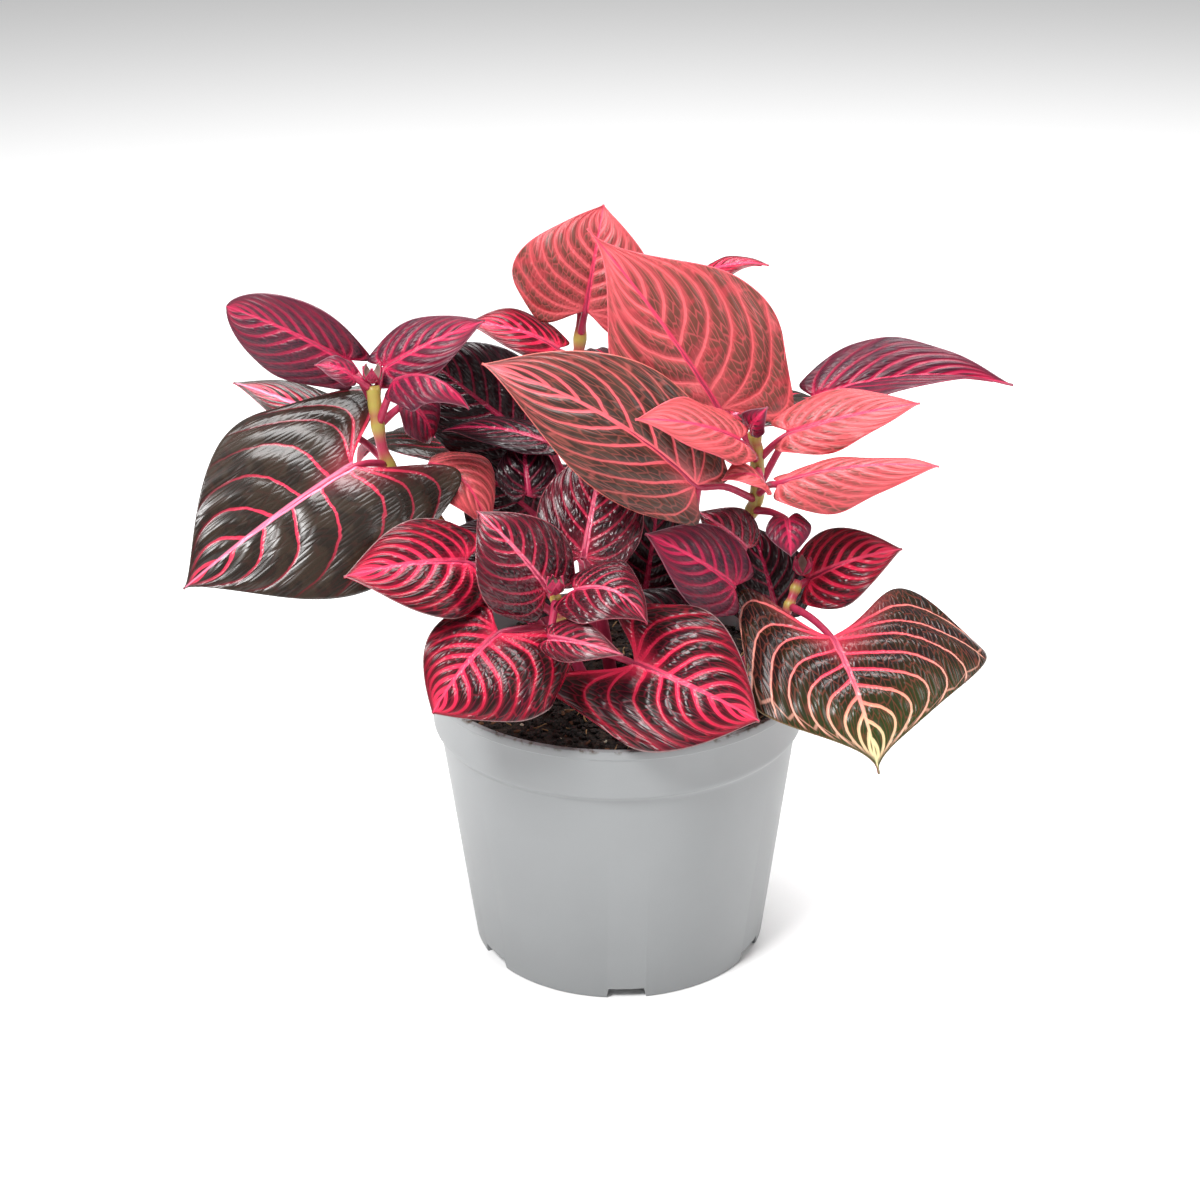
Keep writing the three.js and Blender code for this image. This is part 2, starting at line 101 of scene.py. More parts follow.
# ---- Leaf finishes ------------------------------------------------------------------------
# A leaf is a thin waxy skin over soft tissue: coloured by its pigments, glossy where the skin
# is taut, and drawn over with raised veins. Widths and reaches are in millimetres.
LEAF_LOOK = {
    "vein_width": 0.5, "rib_width": 0.9, "halo_reach": 1.2, "halo_amount": 0.6, "patch_amount": 0.5,
    "patch_size": 7.0, "net": "#7d1830", "net_amount": 0.5, "margin": "#8f4a52", "fade": 0.55,
    "roughness": 0.36, "coat": 0.08, "bump": 0.35, "pucker": 1.5, "gloss": 0.3, "under": "#8c2848",
    "glow": 0.5,
    "loop": 0.5, "outer_vein": "#7a1028",
}
LEAF_LOOKS = {
    # old leaves that have turned bronze between bright veins
    "olive_leaf": {
        "ground": "#221b16", "patch": "#2f251d", "vein": "#cf3450", "rib": "#f07c9c", "halo": "#451318",
        "halo_reach": 0.6, "halo_amount": 0.45, "vein_width": 0.45, "rib_width": 1.15, "net": "#3f1d1a",
        "net_amount": 0.25, "margin": "#4e4744", "fade": 0.8, "roughness": 0.27, "under": "#6f5a64",
        "outer_vein": "#7a1c2c", "loop": 0.15, "glow": 0.3, "bump": 0.2, "gloss": 0.4},
    # leaves in their prime, dark red and shiny
    "maroon_leaf": {
        "ground": "#380a14", "patch": "#1c060b", "vein": "#b02442", "rib": "#e0607c", "halo": "#560c1d",
        "roughness": 0.26, "bump": 0.6, "vein_width": 0.35, "halo_amount": 0.6, "net": "#5f1326",
        "coat": 0.2, "gloss": 0.4},
    # leaves with broad glowing veins and dark islands between them
    "crimson_leaf": {
        "ground": "#2c0a12", "patch": "#1f0e0b", "vein": "#e02c50", "rib": "#ea4468", "halo": "#7c0c24",
        "halo_reach": 1.2, "halo_amount": 0.75, "vein_width": 0.6, "rib_width": 1.1, "net": "#7d142c",
        "margin": "#8a6c6c", "glow": 0.8, "roughness": 0.28, "fade": 0.45, "outer_vein": "#a8142e"},
    # young coral-red leaves that the light shines through; the glow of that light is painted into their colour
    "coral_leaf": {
        "ground": "#a03a3e", "patch": "#6a3a31", "vein": "#e06268", "rib": "#dc3f60", "halo": "#c04a50",
        "halo_reach": 1.6, "halo_amount": 0.85, "vein_width": 0.42, "patch_amount": 0.42, "net": "#d2545a",
        "margin": "#e0606a", "roughness": 0.42, "coat": 0.1, "under": "#c8405a", "outer_vein": "#e85c62"},
    # a long leaf, brown with salmon veins
    "salmon_leaf": {
        "ground": "#4a322a", "patch": "#3a2822", "vein": "#e8606a", "rib": "#f06872", "halo": "#7a3230",
        "halo_reach": 0.9, "vein_width": 0.38, "net": "#8a453f", "net_amount": 0.7, "margin": "#c8665e",
        "roughness": 0.36, "under": "#a04450", "outer_vein": "#c8605c"},
    # greyish young leaves at the ends of the shoots
    "mauve_leaf": {
        "ground": "#4c1c2a", "patch": "#341a26", "vein": "#a81c44", "rib": "#cc2e58", "halo": "#6c1a34",
        "margin": "#7c525c", "roughness": 0.4, "under": "#982850", "net": "#6a2038"},
    # nearly black leaves deep inside the plant: the shade that falls on them there is painted into their colour
    "painted_shade_leaf": {
        "ground": "#12070a", "patch": "#0c0507", "vein": "#6c102a", "rib": "#a01c44", "halo": "#240610",
        "vein_width": 0.3, "net": "#2a0812", "margin": "#33222a", "roughness": 0.28, "bump": 0.6,
        "under": "#4c102c", "outer_vein": "#3c0c1a", "glow": 0.3},
    # an old leaf that turns green towards its tip, with cream veins there
    "green_tipped_leaf": {
        "ground": "#1c100e", "patch": "#241a0c", "vein": "#e83e58", "rib": "#ee5a72", "halo": "#5c161f",
        "halo_reach": 0.8, "vein_width": 0.45, "rib_width": 1.0, "net": "#7a3a30", "net_amount": 0.5,
        "margin": "#6e5a3c", "fade": 0.1, "tip_ground": "#31401a", "tip_vein": "#e4d4a0", "under": "#8a7058",
        "outer_vein": "#e0a08c", "roughness": 0.27},
}


# a share that is 1 up to the range's start and falls smoothly to 0 at its end
FALLING = {3: 1.0, 4: 0.0}


def leaf_material(name, look):
    """Veins come from the attribute vein: how many veins along, millimetres from the midrib, and
    millimetres from one vein to the next. Attribute blade holds u, v and half the width."""
    look = LEAF_LOOK | look
    material, tree = new_material(name)
    coords = add(tree, "ShaderNodeTexCoord", {}).outputs["Object"]
    vein_at = add(tree, "ShaderNodeAttribute", {}, attribute_name="vein").outputs["Vector"]
    blade_at = add(tree, "ShaderNodeAttribute", {}, attribute_name="blade").outputs["Vector"]
    vein_parts = add(tree, "ShaderNodeSeparateXYZ", {"Vector": vein_at})
    blade_parts = add(tree, "ShaderNodeSeparateXYZ", {"Vector": blade_at})
    phase, lateral, spacing = vein_parts.outputs
    along, across, half_width = blade_parts.outputs
    out = add(tree, "ShaderNodeMath", {0: across}, operation="ABSOLUTE")

    # the veins wander a little, and their edges are feathered
    wander = add(tree, "ShaderNodeTexNoise", {"Vector": coords, "Scale": 0.25 / MM, "Detail": 2.0})
    wandering = add(tree, "ShaderNodeMath", {0: wander.outputs[0], 1: 0.16, 2: -0.08},
                    operation="MULTIPLY_ADD")
    ticks = add(tree, "ShaderNodeVectorMath", {0: vein_at, 1: (0.5, 1.5, 0)}, operation="MULTIPLY")
    feather = add(tree, "ShaderNodeTexNoise", {"Vector": ticks.outputs[0], "Scale": 1.0, "Detail": 1.0})
    feathering = add(tree, "ShaderNodeMath", {0: feather.outputs[0], 1: 1.6, 2: -0.8},
                     operation="MULTIPLY_ADD")
    true_phase = add(tree, "ShaderNodeMath", {0: phase, 1: wandering}, operation="ADD")
    nearest = add(tree, "ShaderNodeMath", {0: true_phase, 1: 0.5}, operation="PINGPONG")
    off_vein = add(tree, "ShaderNodeMath", {0: nearest, 1: spacing}, operation="MULTIPLY")
    taper = add(tree, "ShaderNodeMapRange", {"Value": out, 1: 0.0, 2: 1.0, 3: look["vein_width"], 4: 0.12})
    off_edge = add(tree, "ShaderNodeMath", {0: off_vein, 1: taper}, operation="SUBTRACT")
    ragged_edge = add(tree, "ShaderNodeMath", {0: off_edge, 1: feathering}, operation="ADD")
    fading = add(tree, "ShaderNodeMapRange", {"Value": out, 1: 0.25, 2: 0.95, 3: 1.0, 4: 1 - look["fade"]})
    from_margin = add(tree, "ShaderNodeMath", {0: 1.0, 1: out}, operation="SUBTRACT")
    margin_mm = add(tree, "ShaderNodeMath", {0: from_margin, 1: half_width}, operation="MULTIPLY")
    inside = add(tree, "ShaderNodeMapRange", {"Value": margin_mm, 1: 0.5, 2: 2.0})
    fading = add(tree, "ShaderNodeMath", {0: fading, 1: inside}, operation="MULTIPLY")
    lines = add(tree, "ShaderNodeMapRange", {"Value": off_edge, 1: -0.05, 2: 0.22, **FALLING},
                interpolation_type="SMOOTHSTEP")

    # near the margin each vein bends round and joins the next one
    bend = add(tree, "ShaderNodeMath", {0: nearest, 1: -4.4, 2: 3.8}, operation="MULTIPLY_ADD")
    off_loop = add(tree, "ShaderNodeMath", {0: margin_mm, 1: bend}, operation="SUBTRACT")
    off_loop = add(tree, "ShaderNodeMath", {0: off_loop}, operation="ABSOLUTE")
    near_loop = add(tree, "ShaderNodeMapRange", {"Value": off_loop, 1: 0.1, 2: 0.5, **FALLING},
                    interpolation_type="SMOOTHSTEP")
    loop = add(tree, "ShaderNodeMath", {0: near_loop, 1: look["loop"]}, operation="MULTIPLY")
    drawn = add(tree, "ShaderNodeMath", {0: lines, 1: loop}, operation="MAXIMUM")
    vein = add(tree, "ShaderNodeMath", {0: drawn, 1: fading}, operation="MULTIPLY")
    halo_fall = add(tree, "ShaderNodeMapRange", {"Value": ragged_edge, 1: -0.2, 2: look["halo_reach"], **FALLING},
                    interpolation_type="SMOOTHSTEP")
    halo = add(tree, "ShaderNodeMath", {0: halo_fall, 1: look["halo_amount"]}, operation="MULTIPLY")

    # the midrib tapers to the tip
    off_rib = add(tree, "ShaderNodeMath", {0: lateral}, operation="ABSOLUTE")
    rib_taper = add(tree, "ShaderNodeMapRange",
                    {"Value": along, 1: 0.0, 2: 1.0, 3: look["rib_width"], 4: 0.1})
    off_rib_edge = add(tree, "ShaderNodeMath", {0: off_rib, 1: rib_taper}, operation="SUBTRACT")
    rib = add(tree, "ShaderNodeMapRange", {"Value": off_rib_edge, 1: -0.15, 2: 0.25, **FALLING},
              interpolation_type="SMOOTHSTEP")

    # the fine net between the veins: cells about 1.5 mm across
    cell_place = add(tree, "ShaderNodeVectorMath", {0: vein_at, 1: (2.0, 1 / look["pucker"], 0)},
                     operation="MULTIPLY")
    cells = add(tree, "ShaderNodeTexVoronoi", {"Vector": cell_place.outputs[0], "Scale": 1.0},
                feature="DISTANCE_TO_EDGE", voronoi_dimensions="2D")
    net_fall = add(tree, "ShaderNodeMapRange", {"Value": cells.outputs["Distance"], 1: 0.01, 2: 0.13, **FALLING},
                   interpolation_type="SMOOTHSTEP")
    net = add(tree, "ShaderNodeMath", {0: net_fall, 1: look["net_amount"]}, operation="MULTIPLY")

    # darker patches between the veins
    patch_noise = add(tree, "ShaderNodeTexNoise",
                      {"Vector": coords, "Scale": 1 / (look["patch_size"] * MM), "Detail": 3.0})
    patch_edge = 1 - look["patch_amount"]
    patch_rise = add(tree, "ShaderNodeMapRange", {"Value": patch_noise.outputs[0], 1: patch_edge + 0.06, 2: patch_edge - 0.06, **FALLING},
                     interpolation_type="SMOOTHSTEP")
    patch = add(tree, "ShaderNodeMath", {0: 1.0, 1: patch_rise}, operation="SUBTRACT")
    margin = add(tree, "ShaderNodeMapRange", {"Value": margin_mm, 1: 0.15, 2: 0.4, **FALLING},
                 interpolation_type="SMOOTHSTEP")

    # the pigment is strongest round the foot of the midrib
    from_foot = add(tree, "ShaderNodeMath", {0: out, 1: 0.45, 2: along}, operation="MULTIPLY_ADD")
    near_foot = add(tree, "ShaderNodeMapRange", {"Value": from_foot, 1: 0.0, 2: 0.34, **FALLING},
                    interpolation_type="SMOOTHSTEP")
    glow = add(tree, "ShaderNodeMath", {0: near_foot, 1: look["glow"]}, operation="MULTIPLY")

    tints = {key: colour(look[key]) for key in ("ground", "patch", "vein", "rib", "halo", "net", "margin")}
    if "tip_ground" in look:
        towards_tip = add(tree, "ShaderNodeMapRange", {"Value": along, 1: 0.3, 2: 0.95},
                          interpolation_type="SMOOTHSTEP")
        for key in ("ground", "patch", "vein", "rib", "halo"):
            tip_key = "tip_vein" if key in ("vein", "rib") else "tip_ground"
            tints[key] = add(tree, "ShaderNodeMix", {0: towards_tip, 6: tints[key], 7: colour(look[tip_key])},
                             data_type="RGBA").outputs[2]
    towards_margin = add(tree, "ShaderNodeMapRange", {"Value": out, 1: 0.25, 2: 0.9})
    tints["vein"] = add(tree, "ShaderNodeMix",
                        {0: towards_margin, 6: tints["vein"], 7: colour(look["outer_vein"])},
                        data_type="RGBA").outputs[2]
    tints["glow"] = tints["vein"]
    skin = tints["ground"]
    for key, amount in (("patch", patch), ("net", net), ("halo", halo), ("glow", glow), ("vein", vein),
                        ("rib", rib), ("margin", margin)):
        skin = add(tree, "ShaderNodeMix", {0: amount, 6: skin, 7: tints[key]}, data_type="RGBA").outputs[2]

    # the skin puckers up inside each cell and sinks along the net
    swell = add(tree, "ShaderNodeMapRange", {"Value": cells.outputs["Distance"], 1: 0.35, 2: 0.0, **FALLING},
                interpolation_type="SMOOTHSTEP")
    near_vein = add(tree, "ShaderNodeMapRange", {"Value": off_vein, 1: 0.0, 2: 0.7, **FALLING},
                    interpolation_type="SMOOTHSTEP")
    height = add(tree, "ShaderNodeMath", {0: swell, 1: near_vein}, operation="SUBTRACT")
    bump = add(tree, "ShaderNodeBump", {"Height": height, "Strength": look["bump"], "Distance": 0.35 * MM})
    shader = add(tree, "ShaderNodeBsdfPrincipled",
                 {"Base Color": skin, "Roughness": look["roughness"], "Normal": bump,
                  "Coat Weight": look["coat"], "Coat Roughness": 0.18, "IOR": 1.45,
                  "Specular IOR Level": look["gloss"]})
    finish_material(tree, shader)
    return material


def underside_material(name, look):
    """The underside is matt and paler, with the veins standing out."""
    look = LEAF_LOOK | look
    material, tree = new_material(name)
    vein_at = add(tree, "ShaderNodeAttribute", {}, attribute_name="vein").outputs["Vector"]
    phase, lateral, spacing = add(tree, "ShaderNodeSeparateXYZ", {"Vector": vein_at}).outputs
    nearest = add(tree, "ShaderNodeMath", {0: phase, 1: 0.5}, operation="PINGPONG")
    off_vein = add(tree, "ShaderNodeMath", {0: nearest, 1: spacing}, operation="MULTIPLY")
    vein = add(tree, "ShaderNodeMapRange", {"Value": off_vein, 1: 0.1, 2: 0.7, 3: 0.8, 4: 0.0},
               interpolation_type="SMOOTHSTEP")
    coords = add(tree, "ShaderNodeTexCoord", {}).outputs["Object"]
    mottle = add(tree, "ShaderNodeTexNoise", {"Vector": coords, "Scale": 0.3 / MM, "Detail": 3.0})
    mottle_amount = add(tree, "ShaderNodeMath", {0: mottle.outputs[0], 1: 0.7}, operation="MULTIPLY")
    skin = add(tree, "ShaderNodeMix", {0: mottle_amount, 6: colour(look["under"]), 7: colour(look["ground"])},
               data_type="RGBA").outputs[2]
    skin = add(tree, "ShaderNodeMix", {0: vein, 6: skin, 7: colour(look["vein"])},
               data_type="RGBA").outputs[2]
    bump = add(tree, "ShaderNodeBump", {"Height": vein, "Strength": 0.6, "Distance": 0.3 * MM})
    shader = add(tree, "ShaderNodeBsdfPrincipled",
                 {"Base Color": skin, "Roughness": 0.55, "Normal": bump, "IOR": 1.45})
    finish_material(tree, shader)
    return material


def stalk_material(name, low, high):
    """Fleshy stalk skin: smooth and slightly wet, streaked along its length."""
    material, tree = new_material(name)
    coords = add(tree, "ShaderNodeTexCoord", {}).outputs["Object"]
    streaks = add(tree, "ShaderNodeTexNoise", {"Vector": coords, "Scale": 0.35 / MM, "Detail": 2.0})
    ring = add(tree, "ShaderNodeAttribute", {}, attribute_name="node").outputs["Fac"]
    skin = add(tree, "ShaderNodeMix", {0: streaks.outputs[0], 6: colour(low), 7: colour(high)},
               data_type="RGBA").outputs[2]
    skin = add(tree, "ShaderNodeMix", {0: ring, 6: skin, 7: colour("#a8984a")}, data_type="RGBA").outputs[2]
    shader = add(tree, "ShaderNodeBsdfPrincipled",
                 {"Base Color": skin, "Roughness": 0.38, "IOR": 1.42, "Subsurface Weight": 0.15,
                  "Subsurface Radius": (1.0, 0.3, 0.2), "Subsurface Scale": 1.0 * MM})
    finish_material(tree, shader)
    return material


# ---- Shapes -------------------------------------------------------------------------------
def unit(vectors):
    return vectors / np.maximum(np.linalg.norm(vectors, axis=-1, keepdims=True), 1e-9)


def dot(a, b):
    return (a * b).sum(-1, keepdims=True)


def mesh_from(bm, name):
    mesh = bpy.data.meshes.new(name)
    bm.to_mesh(mesh)
    bm.free()
    return mesh


def sheet(name, columns, rows, place, attributes, thick=0):
    """A grid bent onto a surface. place gives points, in millimetres, normals where the sheet is
    thick, and the attributes' values, for u along and v across."""
    bm = bmesh.new()
    bmesh.ops.create_grid(bm, x_segments=columns, y_segments=rows, size=1)
    top_faces = len(bm.faces)
    if thick:
        bmesh.ops.solidify(bm, geom=bm.faces[:], thickness=1)
        for face in list(bm.faces)[top_faces:]:
            face.material_index = 1
    mesh = mesh_from(bm, name)
    flat = np.empty(len(mesh.vertices) * 3)
    mesh.vertices.foreach_get("co", flat)
    flat = flat.reshape(-1, 3)
    row = np.rint((flat[:, 1] + 1) / 2 * rows).astype(int)
    column = np.rint((flat[:, 0] + 1) / 2 * columns).astype(int)
    u, v = np.meshgrid(np.linspace(0, 1, rows + 1), np.linspace(-1, 1, columns + 1), indexing="ij")
    points, normals, *values = place(u, v)
    spots = points[row, column]
    if thick:
        spots = spots - normals[row, column] * (thick * (flat[:, 2:] < -0.5))
    mesh.vertices.foreach_set("co", (spots * MM).ravel())
    for key, value in zip(attributes, values):
        vectors = value.ndim == 3
        layer = mesh.attributes.new(key, "FLOAT_VECTOR" if vectors else "FLOAT", "POINT")
        layer.data.foreach_set("vector" if vectors else "value", value[row, column].ravel())
    return mesh


def rod(name, points, radii, sides, key=None, value=None):
    """A closed round rod through the points, in millimetres, with a radius at each."""
    points, radii = np.array(points, float), np.array(radii, float)
    tangents = unit(np.gradient(points, axis=0))
    axis = np.eye(3)[np.argmin(np.abs(tangents.mean(0)))]
    sideways = unit(np.cross(tangents, axis))
    upwards = np.cross(sideways, tangents)

    def place(u, v):
        turn = (math.pi * v)[..., None]
        ring = sideways[:, None] * np.cos(turn) + upwards[:, None] * np.sin(turn)
        rows = [points[:, None] + radii[:, None, None] * ring, None]
        if key:
            rows.append(np.repeat(np.array(value, float)[:, None], v.shape[1], 1))
        return rows

    mesh = sheet(name, sides, len(points) - 1, place, [key] if key else [])
    bm = bmesh.new()
    bm.from_mesh(mesh)
    bmesh.ops.remove_doubles(bm, verts=bm.verts, dist=0.001 * MM)
    bmesh.ops.holes_fill(bm, edges=[e for e in bm.edges if e.is_boundary], sides=0)
    bmesh.ops.recalc_face_normals(bm, faces=bm.faces)
    bm.to_mesh(mesh)
    bm.free()
    return mesh


def lathe(name, profile, steps):
    """The profile, (radius, height) in millimetres from axis to axis, turned about Z."""
    bm = bmesh.new()
    line = [bm.verts.new((radius * MM, 0, height * MM)) for radius, height in profile]
    edges = [bm.edges.new(pair) for pair in zip(line, line[1:])]
    bmesh.ops.spin(bm, geom=line + edges, cent=(0, 0, 0), axis=(0, 0, 1), angle=math.tau, steps=steps,
                   use_merge=True)
    bmesh.ops.remove_doubles(bm, verts=bm.verts, dist=0.001 * MM)
    bmesh.ops.recalc_face_normals(bm, faces=bm.faces)
    return bm


def smooth_route(points, count):
    """count points at equal steps along a centripetal Catmull-Rom curve through the points."""
    points = np.array(points, float)
    ends = np.vstack([2 * points[0] - points[1], points, 2 * points[-1] - points[-2]])
    fine = []
    for a, b, c, d in zip(ends, ends[1:], ends[2:], ends[3:]):
        gaps = [math.sqrt(np.linalg.norm(q - p)) for p, q in ((a, b), (b, c), (c, d))]
        t0, t1, t2, t3 = np.cumsum([0, *gaps])
        t = np.linspace(t1, t2, 41)[:, None]
        ab, bc, cd = (((hi - t) * p + (t - lo) * q) / (hi - lo)
                      for p, q, lo, hi in ((a, b, t0, t1), (b, c, t1, t2), (c, d, t2, t3)))
        abc = ((t2 - t) * ab + (t - t0) * bc) / (t2 - t0)
        bcd = ((t3 - t) * bc + (t - t1) * cd) / (t3 - t1)
        fine.extend(((t2 - t) * abc + (t - t1) * bcd) / (t2 - t1))
    fine = np.array(fine)
    travelled = np.concatenate([[0], np.cumsum(np.linalg.norm(np.diff(fine, axis=0), axis=1))])
    steps = np.linspace(0, travelled[-1], count)
    return np.stack([np.interp(steps, travelled, fine[:, i]) for i in range(3)], -1)


def add_piece(mesh, materials, nodes, name=None, smooth=True):
    """Every piece sits at the origin and stands for the named nodes of the frame."""
    piece = bpy.data.objects.new(name or mesh.name, mesh)
    scene.collection.objects.link(piece)
    for material in materials:
        mesh.materials.append(material)
    if smooth:
        mesh.shade_smooth()
    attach(piece, "root")
    if nodes:
        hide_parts(*nodes)
    return piece


def smooth_noise(points, size, seed):
    """Smooth waves from -1 to 1 over the points, about size millimetres across."""
    waves = np.random.default_rng(seed)
    total = np.zeros(points.shape[:-1])
    for _ in range(6):
        direction = unit(waves.normal(size=3)) * math.tau / (size * waves.uniform(1.2, 2.6))
        total += np.sin(points @ direction + waves.uniform(0, math.tau))
    return total / 3


# ---- Stems --------------------------------------------------------------------------------
# Each stem is a rooted cutting: its route from the peat up to its growing tip, and its radius.
STEMS = {
    "stem_left": {"radius": 2.3, "route": [[-15, -3, 88], [-30, -8, 118], [-53, -13, 146], [-67, -15,
        165], [-70, -14, 178], [-71, -12, 189]]},
    "stem_right": {"radius": 2.4, "route": [[12, 2, 88], [22, 0, 110], [36, -3, 136], [42, -6, 150],
        [42, -7, 162], [41, -8, 172]]},
    "stem_back": {"radius": 2.4, "route": [[-6, 14, 88], [-10, 20, 118], [-13, 27, 160], [-10, 31,
        198]]},
    "stem_front": {"radius": 2.0, "route": [[-8, -14, 88], [-12, -29, 106], [-16, -43, 124], [-18, -51,
        138]]},
    "stem_middle": {"radius": 2.2, "route": [[-2, -1, 88], [-5, -7, 112], [-9, -14, 136], [-14, -13,
        158]]},
    "stem_low_right": {"radius": 2.0, "route": [[22, -12, 88], [37, -17, 100], [49, -18, 114], [55, -12,
        126]]},
    "stem_back_right": {"radius": 2.2, "route": [[15, 20, 88], [24, 34, 125], [29, 46, 165], [29, 51,
        197]]},
    "stem_back_left": {"radius": 2.2, "route": [[-17, 15, 88], [-32, 29, 120], [-44, 37, 152], [-47, 42,
        176]]},
}

# ---- Leaves -------------------------------------------------------------------------------
# base and tip are the two ends of the midrib, and face is the way that the upper side looks.
# bow lifts the middle of the midrib off the straight line, and sway moves it to the right.
# fold is the angle that each half rises from the midrib, and curl how far it bends down again
# by the margin. twist turns the tip end against the base end. heart is how far the two lobes
# reach back past the stalk, as a share of the length. lean and heartLean make the right half
# wider and its lobe longer than the left ones. belly keeps the blade wide further along, and
# sharp draws out its point. stem and at say where the stalk starts. veins is how many leave each
# side of the midrib, arch how far forward they run, and fan how many more spread from its foot.
# quilt is how far the skin swells between them.
LEAF = {
    "bow": 4, "sway": 0, "fold": 14, "curl": 38, "twist": 0, "heart": 0.12, "lean": 0, "heartLean":
    0, "wave": 0.6, "belly": 1.5, "sharp": 1.2, "spread": 1.5, "stalk": 1.0, "thick": 0.35, "arch":
    0.42, "fan": 2.5, "quilt": 0.9, "seed": 1,
}
